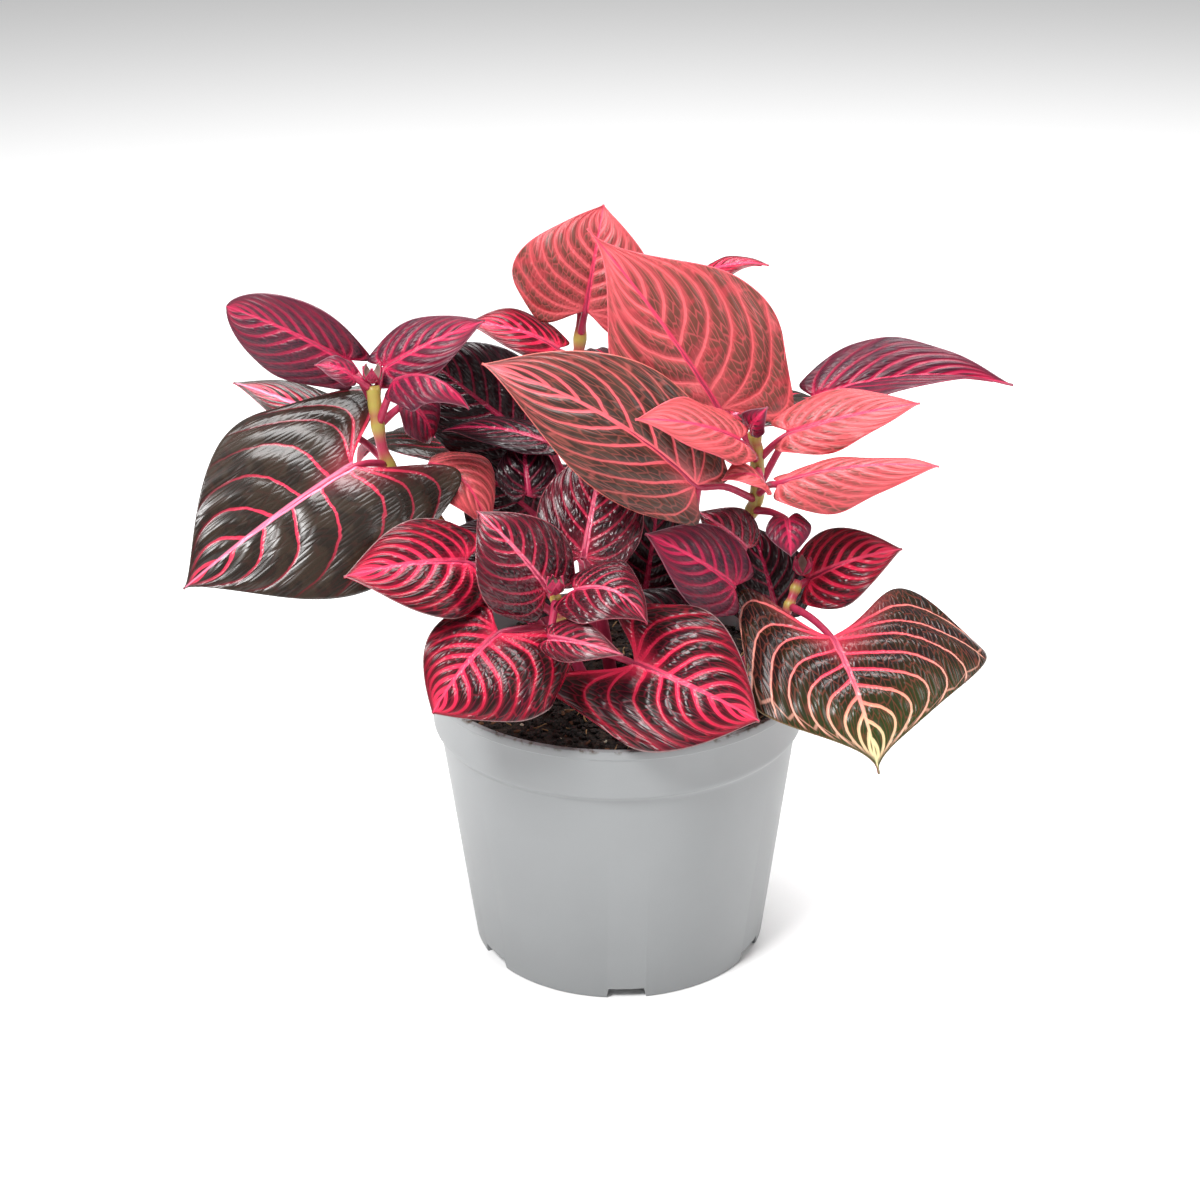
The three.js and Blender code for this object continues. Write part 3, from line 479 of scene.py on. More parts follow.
LEAVES = [
    # left shoot
    {"name": "leaf_left_big", "look": "olive_leaf", "arch": 0.34, "veins": 6, "quilt": 0.7, "stem":
     "stem_left", "at": 0.8, "base": [-76, -27, 170], "tip": [-123, -54, 143], "face": [-0.25, -1,
     0.35], "width": 65, "bow": 6, "heart": 0.42, "lean": -0.04, "heartLean": 0, "fold": 8, "curl": 30,
     "twist": -20, "belly": 1.9, "sharp": 1.4, "seed": 1},
    {"name": "leaf_left_upper", "look": "mauve_leaf", "stem": "stem_left", "at": 0.95, "base": [-79, -4,
     194], "tip": [-114, 0, 210], "face": [-0.25, -1, 0.1], "width": 26, "bow": 3, "sway": 2, "heart":
     0.14, "lean": -0.2, "sharp": 0.7, "seed": 2},
    {"name": "leaf_left_inner", "look": "mauve_leaf", "stem": "stem_left", "at": 0.97, "base": [-68, -7,
     193], "tip": [-38, -4, 206], "face": [0, -0.7, 0.7], "width": 21, "bow": 2, "seed": 3},
    {"name": "leaf_left_folded", "look": "mauve_leaf", "stem": "stem_left", "at": 0.9, "base": [-64,
     -18, 193], "tip": [-42, -29, 187], "face": [0.2, -0.3, 0.9], "width": 22, "bow": 6, "fold": -30,
     "curl": 40, "seed": 4},
    {"name": "leaf_left_bud_outer", "look": "mauve_leaf", "stem": "stem_left", "at": 0.99, "base": [-76,
     -15, 193], "tip": [-87, -17, 197], "face": [0, -0.6, 0.8], "width": 10, "bow": 2, "seed": 5},
    {"name": "leaf_left_under", "look": "olive_leaf", "stem": "stem_left", "at": 0.8, "base": [-80, -2,
     172], "tip": [-114, 2, 186], "face": [0, -0.5, 0.85], "width": 18, "bow": 2, "seed": 6},
    {"name": "leaf_left_arched", "look": "coral_leaf", "stem": "stem_left", "at": 0.62, "base": [-57,
     -4, 162], "tip": [-38, -20, 146], "face": [0.3, -0.5, 0.9], "width": 26, "bow": 8, "heart": 0.05,
     "seed": 7},
    {"name": "leaf_left_striped", "look": "crimson_leaf", "stem": "stem_front", "at": 0.85, "base":
     [-43, -43, 146], "tip": [-77, -58, 148], "face": [-0.1, -0.75, 0.65], "width": 32, "bow": 4,
     "heart": 0.18, "lean": -0.1, "seed": 8},
    {"name": "leaf_left_behind", "look": "mauve_leaf", "stem": "stem_left", "at": 0.9, "base": [-61, -6,
     182], "tip": [-56, 0, 167], "face": [0.6, -0.6, 0.4], "width": 16, "bow": 3, "seed": 9},
    {"name": "leaf_left_shaded", "look": "painted_shade_leaf", "stem": "stem_middle", "at": 0.97, "base": [-28,
     5, 168], "tip": [-58, 12, 191], "face": [-0.2, -0.8, 0.4], "width": 36, "bow": 4, "sharp": 0.8,
     "seed": 10},
    {"name": "leaf_left_edge_on", "look": "painted_shade_leaf", "stem": "stem_middle", "at": 0.9, "base": [-20,
     -14, 172], "tip": [-52, -3, 172], "face": [0, -0.3, 1], "width": 17, "bow": 3, "seed": 11},
    # front shoot
    {"name": "leaf_front_upright", "look": "maroon_leaf", "stem": "stem_front", "at": 0.95, "base":
     [-20, -50, 140], "tip": [-40, -44, 162], "face": [0.1, -0.8, 0.6], "width": 31, "bow": 4, "heart":
     0.16, "lean": -0.1, "seed": 12},
    {"name": "leaf_front_right", "look": "maroon_leaf", "stem": "stem_front", "at": 0.92, "base": [-13,
     -53, 141], "tip": [8, -59, 133], "face": [0.3, -0.45, 0.85], "width": 28, "bow": 7, "heart": 0.14,
     "seed": 13},
    {"name": "leaf_front_small", "look": "maroon_leaf", "stem": "stem_front", "at": 0.99, "base": [-20,
     -63, 131], "tip": [1, -73, 130], "face": [0, -0.8, 0.6], "width": 13, "bow": 3, "seed": 14},
    {"name": "leaf_front_over_rim", "look": "crimson_leaf", "stem": "stem_front", "at": 0.75, "base":
     [-34, -54, 129], "tip": [-53, -68, 110], "face": [-0.1, -0.75, 0.65], "width": 42, "bow": 5,
     "heart": 0.4, "lean": -0.3, "heartLean": -0.6, "sharp": 1.1, "spread": 1.8, "belly": 2, "wave":
     1.2, "seed": 15},
    {"name": "leaf_front_big", "look": "crimson_leaf", "stem": "stem_front", "at": 0.55, "base": [4,
     -50, 117], "tip": [40, -63, 104], "face": [0, -0.85, 0.6], "width": 46, "bow": 5, "heart": 0.5,
     "lean": 0.02, "heartLean": 0.35, "belly": 2, "spread": 1.8, "seed": 16},
    # middle
    {"name": "leaf_middle_glossy", "look": "maroon_leaf", "stem": "stem_middle", "at": 0.8, "base":
     [-10, -36, 144], "tip": [-3, -8, 170], "face": [0, -0.8, 0.6], "width": 32, "bow": 4, "heart":
     0.14, "seed": 17},
    {"name": "leaf_middle_dark", "look": "painted_shade_leaf", "stem": "stem_middle", "at": 0.93, "base": [-26,
     -20, 158], "tip": [-28, -6, 171], "face": [0, -0.8, 0.6], "width": 18, "bow": 2, "seed": 18},
    {"name": "leaf_middle_long", "look": "salmon_leaf", "stem": "stem_right", "at": 0.76, "base": [23,
     -29, 163], "tip": [-38, -30, 201], "face": [-0.15, -0.75, 0.55], "width": 40, "bow": 8, "heart":
     0.1, "sway": 3, "sharp": 1.2, "belly": 1.7, "seed": 19},
    {"name": "leaf_middle_purple", "look": "mauve_leaf", "stem": "stem_right", "at": 0.35, "base": [35,
     -26, 130], "tip": [8, -30, 149], "face": [0, -0.7, 0.7], "width": 28, "bow": 3, "seed": 20},
    {"name": "leaf_middle_low", "look": "painted_shade_leaf", "stem": "stem_middle", "at": 0.5, "base": [-19,
     -22, 131], "tip": [-56, -31, 147], "face": [0, -0.7, 0.7], "width": 32, "bow": 5, "seed": 21},
    {"name": "leaf_low_shaded", "look": "painted_shade_leaf", "stem": "stem_low_right", "at": 0.35, "base":
     [26, -17, 104], "tip": [0, -11, 122], "face": [0, -0.8, 0.6], "width": 28, "bow": 4, "seed": 22},
    {"name": "leaf_middle_maroon", "look": "maroon_leaf", "stem": "stem_right", "at": 0.55, "base": [39,
     -14, 137], "tip": [24, -15, 150], "face": [0, -0.8, 0.6], "width": 19, "bow": 3, "seed": 23},
    # the deep leaves fill the dark inside of the plant; their near-black colour is painted shade
    {"name": "leaf_deep_left", "look": "painted_shade_leaf", "stem": "stem_middle", "at": 0.6, "base": [-24, 6,
     140], "tip": [-48, 8, 160], "face": [-0.1, -0.8, 0.6], "width": 38, "bow": 4, "heart": 0.1, "seed":
     24},
    {"name": "leaf_deep_middle", "look": "painted_shade_leaf", "stem": "stem_back", "at": 0.4, "base": [9, 12,
     113], "tip": [14, 12, 150], "face": [0, -0.9, 0.4], "width": 38, "bow": 4, "heart": 0.1, "seed":
     25},
    {"name": "leaf_deep_right", "look": "painted_shade_leaf", "stem": "stem_low_right", "at": 0.6, "base": [50,
     4, 108], "tip": [42, 14, 134], "face": [0, -0.8, 0.6], "width": 30, "bow": 4, "heart": 0.1, "seed":
     26},
    # top
    {"name": "leaf_top_big", "look": "coral_leaf", "stem": "stem_right", "at": 0.94, "base": [31, -6,
     178], "tip": [-8, 4, 231], "face": [0.1, -0.8, 0.5], "width": 59, "bow": 5, "heart": 0.2, "lean":
     0.12, "heartLean": 0.2, "sharp": 2.1, "belly": 1.9, "seed": 27},
    {"name": "leaf_top_back", "look": "coral_leaf", "stem": "stem_back", "at": 0.93, "base": [-9, 25,
     200], "tip": [-3, 34, 231], "face": [0, -0.9, 0.3], "width": 46, "bow": 3, "heart": 0.16, "lean":
     -0.1, "seed": 28},
    {"name": "leaf_top_left", "look": "crimson_leaf", "stem": "stem_back", "at": 0.86, "base": [-17, 23,
     189], "tip": [-45, 18, 199], "face": [0, -0.5, 0.9], "width": 20, "bow": 3, "seed": 29},
    {"name": "leaf_top_far", "look": "crimson_leaf", "stem": "stem_back_right", "at": 0.97, "base": [28,
     50, 205], "tip": [49, 52, 207], "face": [0, -0.2, 1], "width": 12, "bow": 2, "seed": 30},
    # right shoot
    {"name": "leaf_right_long", "look": "mauve_leaf", "stem": "stem_right", "at": 0.8, "base": [60, 12,
     176], "tip": [120, 8, 181], "face": [0, -0.35, 0.95], "width": 29, "bow": 6, "heart": 0.05, "fold":
     40, "curl": 40, "sharp": 1.4, "seed": 31},
    {"name": "leaf_right_coral", "look": "coral_leaf", "stem": "stem_right", "at": 0.9, "base": [51, -8,
     172], "tip": [89, -12, 182], "face": [0, -0.65, 0.75], "width": 20, "bow": 2, "wave": 1.2, "seed":
     32},
    {"name": "leaf_right_folded", "look": "coral_leaf", "stem": "stem_right", "at": 0.78, "base": [47,
     -23, 162], "tip": [93, -28, 168], "face": [0, -0.5, 0.9], "width": 25, "bow": 4, "fold": -20,
     "wave": 1.4, "heart": 0.05, "seed": 33},
    {"name": "leaf_right_inward", "look": "coral_leaf", "stem": "stem_right", "at": 0.87, "base": [43,
     -24, 162], "tip": [30, -32, 166], "face": [0, -0.4, 0.9], "width": 14, "bow": 3, "seed": 34},
    {"name": "leaf_right_pointing_left", "look": "coral_leaf", "stem": "stem_right", "at": 0.9, "base":
     [36, -23, 175], "tip": [5, -42, 188], "face": [0, -0.6, 0.8], "width": 22, "bow": 3, "wave": 1.2,
     "seed": 35},
    {"name": "leaf_right_bud_front", "look": "mauve_leaf", "stem": "stem_right", "at": 0.99, "base":
     [39, -13, 175], "tip": [44, -17, 183], "face": [0, -0.8, 0.5], "width": 9, "bow": 2, "seed": 36},
    # low right shoot
    {"name": "leaf_low_small", "look": "mauve_leaf", "stem": "stem_right", "at": 0.72, "base": [50, -21,
     150], "tip": [51, -27, 140], "face": [0, -0.8, 0.5], "width": 14, "bow": 2, "seed": 37},
    {"name": "leaf_low_right", "look": "crimson_leaf", "stem": "stem_low_right", "at": 0.95, "base":
     [58, -9, 125], "tip": [86, -12, 136], "face": [0, -0.7, 0.7], "width": 26, "bow": 4, "seed": 38},
    {"name": "leaf_low_big", "look": "green_tipped_leaf", "stem": "stem_low_right", "at": 0.85, "base":
     [63, -35, 118], "tip": [75, -62, 86], "face": [0.1, -0.75, 0.65], "width": 80, "bow": 6, "heart":
     0.5, "lean": -0.24, "heartLean": 0.3, "fold": 4, "curl": 34, "belly": 2.6, "sharp": 2.3, "spread":
     1.7, "seed": 39},
    # behind
    {"name": "leaf_back_left_high", "look": "crimson_leaf", "stem": "stem_back_left", "at": 0.97,
     "base": [-50, 46, 172], "tip": [-72, 66, 170], "face": [-0.2, 0.3, 0.9], "width": 34, "bow": 6,
     "heart": 0.14, "seed": 40},
    {"name": "leaf_back_left_low", "look": "olive_leaf", "stem": "stem_back_left", "at": 0.8, "base":
     [-52, 44, 150], "tip": [-86, 62, 138], "face": [-0.3, 0.3, 0.9], "width": 40, "bow": 8, "heart":
     0.18, "seed": 41},
    {"name": "leaf_back_left_inner", "look": "maroon_leaf", "stem": "stem_back_left", "at": 0.9, "base":
     [-36, 48, 164], "tip": [-20, 78, 156], "face": [0.1, 0.5, 0.9], "width": 32, "bow": 7, "heart":
     0.16, "seed": 42},
    {"name": "leaf_back_middle", "look": "maroon_leaf", "stem": "stem_back", "at": 0.75, "base": [-7,
     42, 174], "tip": [12, 84, 162], "face": [0.1, 0.5, 0.85], "width": 40, "bow": 8, "heart": 0.18,
     "seed": 43},
    {"name": "leaf_back_right_high", "look": "crimson_leaf", "stem": "stem_back_right", "at": 0.9,
     "base": [34, 60, 180], "tip": [46, 92, 170], "face": [0.2, 0.5, 0.9], "width": 34, "bow": 6,
     "heart": 0.16, "seed": 44},
    {"name": "leaf_back_right_low", "look": "olive_leaf", "stem": "stem_back_right", "at": 0.7, "base":
     [38, 44, 160], "tip": [78, 58, 150], "face": [0.4, 0.2, 0.9], "width": 40, "bow": 8, "heart": 0.18,
     "seed": 45},
    {"name": "leaf_back_low", "look": "maroon_leaf", "stem": "stem_back", "at": 0.5, "base": [-8, 36,
     140], "tip": [-14, 74, 120], "face": [0, 0.5, 0.85], "width": 40, "bow": 8, "heart": 0.18, "seed":
     46},
]


# Half of the blade's width at u, for a margin that is round by the stalk and runs to a point.
def outline(leaf, u):
    start = 0.02 + leaf["heart"]

    def shape(u):
        return np.sqrt(u + start) * (1 - u ** leaf["belly"]) ** leaf["sharp"]

    return np.maximum(leaf["width"] / 2 * shape(u) / shape(np.linspace(0, 1, 41)).max(), 0.3)


def blade_surface(leaf, u, v):
    """Points of the upper face and its normals: u runs from the base to the tip, and v from the
    left margin, -1, over the midrib, 0, to the right margin, 1."""
    base, tip, face = (np.array(leaf[key], float) for key in ("base", "tip", "face"))
    along = unit(tip - base)
    up = unit(face - dot(face, along) * along)
    side = np.cross(along, up)
    control = (base + tip) / 2 + 2 * leaf["bow"] * up + 2 * leaf["sway"] * side
    fold, curl = math.radians(leaf["fold"]), math.radians(leaf["curl"])
    half = leaf["width"] / 2
    out, hand = np.abs(v), np.sign(v)
    lobe = leaf["heart"] * (1 + leaf["heartLean"] * hand) * np.sin(math.pi * out ** leaf["spread"])
    reach = u - lobe * (1 - u) ** 3
    t = np.maximum(reach, 0)[..., None]
    forward = unit((1 - t) * (control - base) + t * (tip - control))
    point = (1 - t) ** 2 * base + 2 * t * (1 - t) * control + t * t * tip
    point = point + forward * np.minimum(reach, 0)[..., None] * np.linalg.norm(tip - base)
    right = unit(side - dot(forward, side) * forward)
    turn = (math.radians(leaf["twist"]) * (u - 0.5))[..., None]
    right = right * np.cos(turn) + np.cross(forward, right) * np.sin(turn)
    top = np.cross(right, forward)
    x = out * outline(leaf, u) * (1 + leaf["lean"] * hand) / half
    slope = fold - curl * x
    ripple = leaf["wave"] * x * x * np.sin(9 * u + 2 * hand)
    across = half * (math.sin(fold) - np.sin(slope)) / curl
    rise = half * (np.cos(slope) - math.cos(fold)) / curl + ripple
    point = point + right * (hand * across)[..., None] + top * rise[..., None]
    normal = top * np.cos(slope)[..., None] - right * (hand * np.sin(slope))[..., None]
    return point, normal, x * half


def veined_surface(leaf, u, v):
    """The blade's points, with the veins sunk and the skin swollen between them."""
    point, normal, lateral = blade_surface(leaf, u, v)
    out, hand = np.abs(v), np.sign(v)
    arch = np.maximum(leaf["arch"] * out * (1 + 0.3 * out * out), 1e-6)
    phase = np.where(u >= arch, leaf["veins"] * (u - arch), -leaf["fan"] * (1 - u / arch))
    spacing = vein_spacing(point, phase)
    phase = phase + 0.2 * hand
    between = np.abs(np.sin(math.pi * phase))
    swell = leaf["quilt"] * np.minimum(spacing / 5, 1) * (between ** 1.3 - 0.5) * (1 - out ** 6)
    groove = 0.5 * np.exp(-((lateral / 0.9) ** 2)) * (1 - u)
    sway = 0.5 * smooth_noise(point, 14, leaf["seed"]) * out
    point = point + normal * (swell * np.minimum(lateral / 2, 1) - groove + sway)[..., None]
    half_width = outline(leaf, u) * (1 + leaf["lean"] * hand)
    veins = np.stack([phase, lateral * hand, spacing], -1)
    return point, normal, veins, np.stack([u, v, half_width], -1)


def vein_spacing(point, phase):
    """Millimetres from one vein to the next, across the veins."""
    along, across = np.gradient(point, axis=0), np.gradient(point, axis=1)
    rise_along, rise_across = np.gradient(phase)
    ee, ff, gg = (along * along).sum(-1), (along * across).sum(-1), (across * across).sum(-1)
    slope = gg * rise_along ** 2 - 2 * ff * rise_along * rise_across + ee * rise_across ** 2
    area = np.maximum(ee * gg - ff * ff, 1e-9)
    return np.clip(np.sqrt(area / np.maximum(slope, 1e-9)), 0.3, 12)


def stalk_points(leaf):
    """The stalk runs from the stem to the blade, and on under it as a keel."""
    stem = STEMS[leaf["stem"]]
    path = smooth_route(stem["route"], 201)
    place = leaf["at"] * 200
    low = min(int(place), 199)
    node = path[low] + (path[low + 1] - path[low]) * (place - low)
    along = np.linspace(0, 0.9, 14)
    rib, normal, _ = blade_surface(leaf, along, np.zeros_like(along))
    depth = 0.6 + 0.5 * (1 - along)
    keel = rib - normal * depth[:, None]
    towards = unit(keel[0] - node)
    start = node + towards * 0.7 * stem["radius"]
    middle = (start + keel[0]) / 2 + np.array([0, 0, 0.06 * np.linalg.norm(keel[0] - start)])
    stalk = smooth_route([start, middle, keel[0], keel[1]], 12)[:-1]
    size = leaf["stalk"]
    radii = [size * (1.25 - 0.25 * i / 10) for i in range(11)] + list(size * (1 - 0.85 * along[1:]))
    return np.vstack([stalk, keel[1:]]), radii


def make_leaf(given, nodes):
    leaf = LEAF | given
    size = max(leaf["width"], float(np.linalg.norm(np.subtract(leaf["tip"], leaf["base"]))))
    leaf["veins"] = leaf.get("veins") or (8 if size > 34 else 7 if size > 20 else 5)
    cell = 0.75 if size > 22 else 0.55
    columns = 2 * max(int(leaf["width"] / cell / 2), 6)
    rows = max(int(1.15 * np.linalg.norm(np.subtract(leaf["tip"], leaf["base"])) / cell), 12)
    mesh = sheet(leaf["name"] + "_blade", columns, rows, lambda u, v: veined_surface(leaf, u, v),
                 ["vein", "blade"], leaf["thick"])
    bm = bmesh.new()
    bm.from_mesh(mesh)
    points, radii = stalk_points(leaf)
    stalk = rod("stalk", points, radii, 8)
    blade_faces = len(bm.faces)
    bm.from_mesh(stalk)
    for face in list(bm.faces)[blade_faces:]:
        face.material_index = 2
    bm.to_mesh(mesh)
    bm.free()
    bpy.data.meshes.remove(stalk)
    look = leaf["look"]
    piece = add_piece(mesh, [blade_finish[look], under_finish[look], stalk_finish], nodes)
    return piece


# ---- Pot ----------------------------------------------------------------------------------
POT = {"height": 93, "rim": 60, "band_foot": 58.4, "shoulder": 56.2, "base": 47, "wall": 1.5, "band": 18.5}
FOOT = {"ring": 4.2, "disc": 24, "lift": 3.2, "notches": 6, "width": 14, "height": 3.6, "front": -88,
        "drain": 4}
SOIL_TOP = 86.5
SOIL_RISE = 1.8


def pot_plastic():
    """Injection-moulded polypropylene: even grey, a satin skin with a fine grain, peat dust at the lip."""
    material, tree = new_material("satin_grey_polypropylene")
    coords = add(tree, "ShaderNodeTexCoord", {}).outputs["Object"]
    cloud = add(tree, "ShaderNodeTexNoise", {"Vector": coords, "Scale": 0.03 / MM, "Detail": 3.0})
    skin = add(tree, "ShaderNodeMix", {0: cloud.outputs[0], 6: colour("#838586"), 7: colour("#8d8f90")},
               data_type="RGBA").outputs[2]
    height = add(tree, "ShaderNodeSeparateXYZ", {"Vector": coords}).outputs[2]
    near_lip = add(tree, "ShaderNodeMapRange", {"Value": height, 1: 91.6 * MM, 2: 93 * MM},
                   interpolation_type="SMOOTHSTEP")
    dust = add(tree, "ShaderNodeTexNoise", {"Vector": coords, "Scale": 0.45 / MM, "Detail": 6.0})
    dusty = add(tree, "ShaderNodeMapRange", {"Value": dust.outputs[0], 1: 0.5, 2: 0.66})
    dirt = add(tree, "ShaderNodeMath", {0: near_lip, 1: dusty}, operation="MULTIPLY")
    skin = add(tree, "ShaderNodeMix", {0: dirt, 6: skin, 7: colour("#4a3a2e")}, data_type="RGBA").outputs[2]
    grain = add(tree, "ShaderNodeTexNoise", {"Vector": coords, "Scale": 1.6 / MM, "Detail": 2.0})
    bump = add(tree, "ShaderNodeBump", {"Height": grain.outputs[0], "Strength": 0.12, "Distance": 0.1 * MM})
    shader = add(tree, "ShaderNodeBsdfPrincipled",
                 {"Base Color": skin, "Roughness": 0.42, "IOR": 1.49, "Normal": bump})
    finish_material(tree, shader)
    return material


def make_pot():
    height, wall, base = POT["height"], POT["wall"], POT["base"]
    band_foot = height - POT["band"]
    ring_inner = base - FOOT["ring"]
    floor = FOOT["lift"] + wall
    disc, shoulder, lip = FOOT["disc"], POT["shoulder"], POT["rim"]
    bm = lathe("pot", [
        (0, 0), (disc, 0), (disc + 1, FOOT["lift"]), (ring_inner - 0.6, FOOT["lift"]), (ring_inner, 0),
        (base - 0.8, 0), (base - 0.25, 0.25), (base, 0.8),
        (shoulder, band_foot - 1), (shoulder + 0.12, band_foot - 0.2), (shoulder + 0.5, band_foot + 0.6),
        (POT["band_foot"] - 0.7, band_foot + 1.5), (POT["band_foot"] - 0.3, band_foot + 2),
        (POT["band_foot"] - 0.05, band_foot + 2.8), (POT["band_foot"], band_foot + 4),
        (lip - 0.5, height - 3.4), (lip - 0.42, height - 3.1), (lip - 0.02, height - 2.7),
        (lip, height - 2.2), (lip, height - 0.8), (lip - 0.2, height - 0.25), (lip - 0.7, height),
        (lip - 1.5, height), (lip - 1.85, height - 0.3), (lip - 2, height - 1),
        (POT["band_foot"] - wall, band_foot + 4), (shoulder - wall, band_foot + 1), (base - wall, floor + 1),
        (base - wall - 1, floor), (disc - 1, floor), (disc - 2, wall), (0, wall)], 192)
    mesh = mesh_from(bm, "pot_shell")
    pot = bpy.data.objects.new("pot_shell", mesh)
    scene.collection.objects.link(pot)
    cutters = []
    for i in range(FOOT["notches"]):
        turn = math.radians(FOOT["front"] + 360 * i / FOOT["notches"])
        bm = bmesh.new()
        block = Matrix.Diagonal((12 * MM, FOOT["width"] * MM, 2 * FOOT["height"] * MM, 1))
        bmesh.ops.create_cube(bm, size=1, matrix=block)
        top = [v for v in bm.verts if v.co.z > 0]
        bmesh.ops.scale(bm, vec=(1, 1 - 3 / FOOT["width"], 1), verts=top)
        bmesh.ops.translate(bm, vec=((base - FOOT["ring"] + 4) * MM, 0, 0), verts=bm.verts)
        ring = mesh_from(bm, "notch")
        bm = bmesh.new()
        bm.from_mesh(ring)
        place = Matrix.Translation(((disc + ring_inner) / 2 * MM, 0, floor * MM))
        drain = bmesh.ops.create_cone(bm, cap_ends=True, segments=24, radius1=FOOT["drain"] * MM,
                                      radius2=FOOT["drain"] * MM, depth=8 * MM, matrix=place)
        bmesh.ops.rotate(bm, cent=(0, 0, 0), matrix=Matrix.Rotation(math.pi / FOOT["notches"], 3, "Z"),
                         verts=drain["verts"])
        bmesh.ops.rotate(bm, cent=(0, 0, 0), matrix=Matrix.Rotation(turn, 3, "Z"), verts=bm.verts)
        bm.to_mesh(ring)
        bm.free()
        cutter = bpy.data.objects.new("cutter", ring)
        scene.collection.objects.link(cutter)
        cutters.append(cutter)
        cut = pot.modifiers.new("cut", "BOOLEAN")
        cut.object = cutter
        cut.operation = "DIFFERENCE"
        cut.solver = "EXACT"
    cut_mesh = bpy.data.meshes.new_from_object(pot.evaluated_get(bpy.context.evaluated_depsgraph_get()))
    for extra in [*cutters, pot]:
        bpy.data.objects.remove(extra)
    cut_mesh.name = "grow_pot"
    cut_mesh.set_sharp_from_angle(angle=math.radians(35))
    return add_piece(cut_mesh, [pot_plastic()], ["pot"])


# ---- Peat ---------------------------------------------------------------------------------
def soil_height(x, y):
    """The peat's surface in millimetres: a low mound with lumps."""
    place = np.stack([x, y, np.zeros_like(x)], -1)
    rim_share = np.clip(np.hypot(x, y) / 56, 0, 1)
    mound = SOIL_TOP + SOIL_RISE * (1 - rim_share ** 2)
    lumps = 1.3 * smooth_noise(place, 8, 5) + 0.9 * smooth_noise(place, 3, 6)
    return mound + lumps * (1 - 0.6 * rim_share ** 8)


def peat_material(name, dark, light):
    """Damp peat and coir: matt, nearly black, mottled with browner clods, with a crumbly bump."""
    material, tree = new_material(name)
    coords = add(tree, "ShaderNodeTexCoord", {}).outputs["Object"]
    crumbs = add(tree, "ShaderNodeTexVoronoi", {"Vector": coords, "Scale": 0.8 / MM})
    clods = add(tree, "ShaderNodeTexNoise", {"Vector": coords, "Scale": 0.5 / MM, "Detail": 6.0})
    share = add(tree, "ShaderNodeMapRange", {"Value": clods.outputs[0], 1: 0.4, 2: 0.68})
    skin = add(tree, "ShaderNodeMix", {0: share, 6: colour(dark), 7: colour(light)},
               data_type="RGBA").outputs[2]
    bump = add(tree, "ShaderNodeBump", {"Height": crumbs.outputs["Distance"], "Strength": 0.9,
                                        "Distance": 0.8 * MM})
    shader = add(tree, "ShaderNodeBsdfPrincipled", {"Base Color": skin, "Roughness": 0.85, "Normal": bump})
    finish_material(tree, shader)
    return material


def plain_material(name, hex_text, roughness):
    material, tree = new_material(name)
    coords = add(tree, "ShaderNodeTexCoord", {}).outputs["Object"]
    mottle = add(tree, "ShaderNodeTexNoise", {"Vector": coords, "Scale": 0.6 / MM, "Detail": 3.0})
    dark = tuple(0.45 * c for c in colour(hex_text)[:3]) + (1,)
    skin = add(tree, "ShaderNodeMix", {0: mottle.outputs[0], 6: colour(hex_text), 7: dark},
               data_type="RGBA").outputs[2]
    shader = add(tree, "ShaderNodeBsdfPrincipled", {"Base Color": skin, "Roughness": roughness})
    finish_material(tree, shader)
    return material


def make_peat():
    inside = POT["wall"] + 0.3
    band_foot = POT["height"] - POT["band"]
    edge = POT["band_foot"] - inside
    rings = [(edge * i / 60, SOIL_TOP) for i in range(61)]
    below = [(POT["band_foot"] - inside - 0.3, band_foot + 4.4), (POT["shoulder"] - inside, band_foot + 1),
             (POT["base"] - inside, FOOT["lift"] + 3.4), (POT["base"] - inside - 1.2, FOOT["lift"] + 1.8),
             (0, FOOT["lift"] + 1.8)]
    bm = lathe("peat", rings + below, 180)
    mesh = mesh_from(bm, "peat_surface")
    co = np.empty(len(mesh.vertices) * 3)
    mesh.vertices.foreach_get("co", co)
    co = co.reshape(-1, 3) / MM
    upper = co[:, 2] > SOIL_TOP - 1
    co[upper, 2] = soil_height(co[upper, 0], co[upper, 1])
    mesh.vertices.foreach_set("co", (co * MM).ravel())
    add_piece(mesh, [peat_material("damp_peat", "#150d09", "#3a281c")], ["soil"])


def scatter(name, count, size, stretch, material, reach, faces=1):
    """Many small lumps, joined in one piece, lying on the peat."""
    bm = bmesh.new()
    for _ in range(count):
        angle, radius = chance.uniform(0, math.tau), reach * math.sqrt(chance.uniform(0, 1))
        x, y = radius * math.cos(angle), radius * math.sin(angle)
        z = float(soil_height(np.array([x]), np.array([y]))[0])
        grain = size * chance.uniform(0.5, 1.3)
        lump = bmesh.ops.create_icosphere(bm, subdivisions=faces, radius=grain * MM)["verts"]
        for vert in lump:
            vert.co *= chance.uniform(0.7, 1.2)
        shape = Matrix.Diagonal((chance.uniform(1, stretch), 1, chance.uniform(0.5, 0.9), 1))
        spin = Matrix.Rotation(chance.uniform(0, math.tau), 4, "Z")
        spin = spin @ Matrix.Rotation(chance.uniform(-0.5, 0.5), 4, "X")
        place = Matrix.Translation(Vector((x, y, z + 0.3 * grain)) * MM)
        bmesh.ops.transform(bm, matrix=place @ spin @ shape, verts=lump)
    add_piece(mesh_from(bm, name), [material], ["soil"], smooth=False)


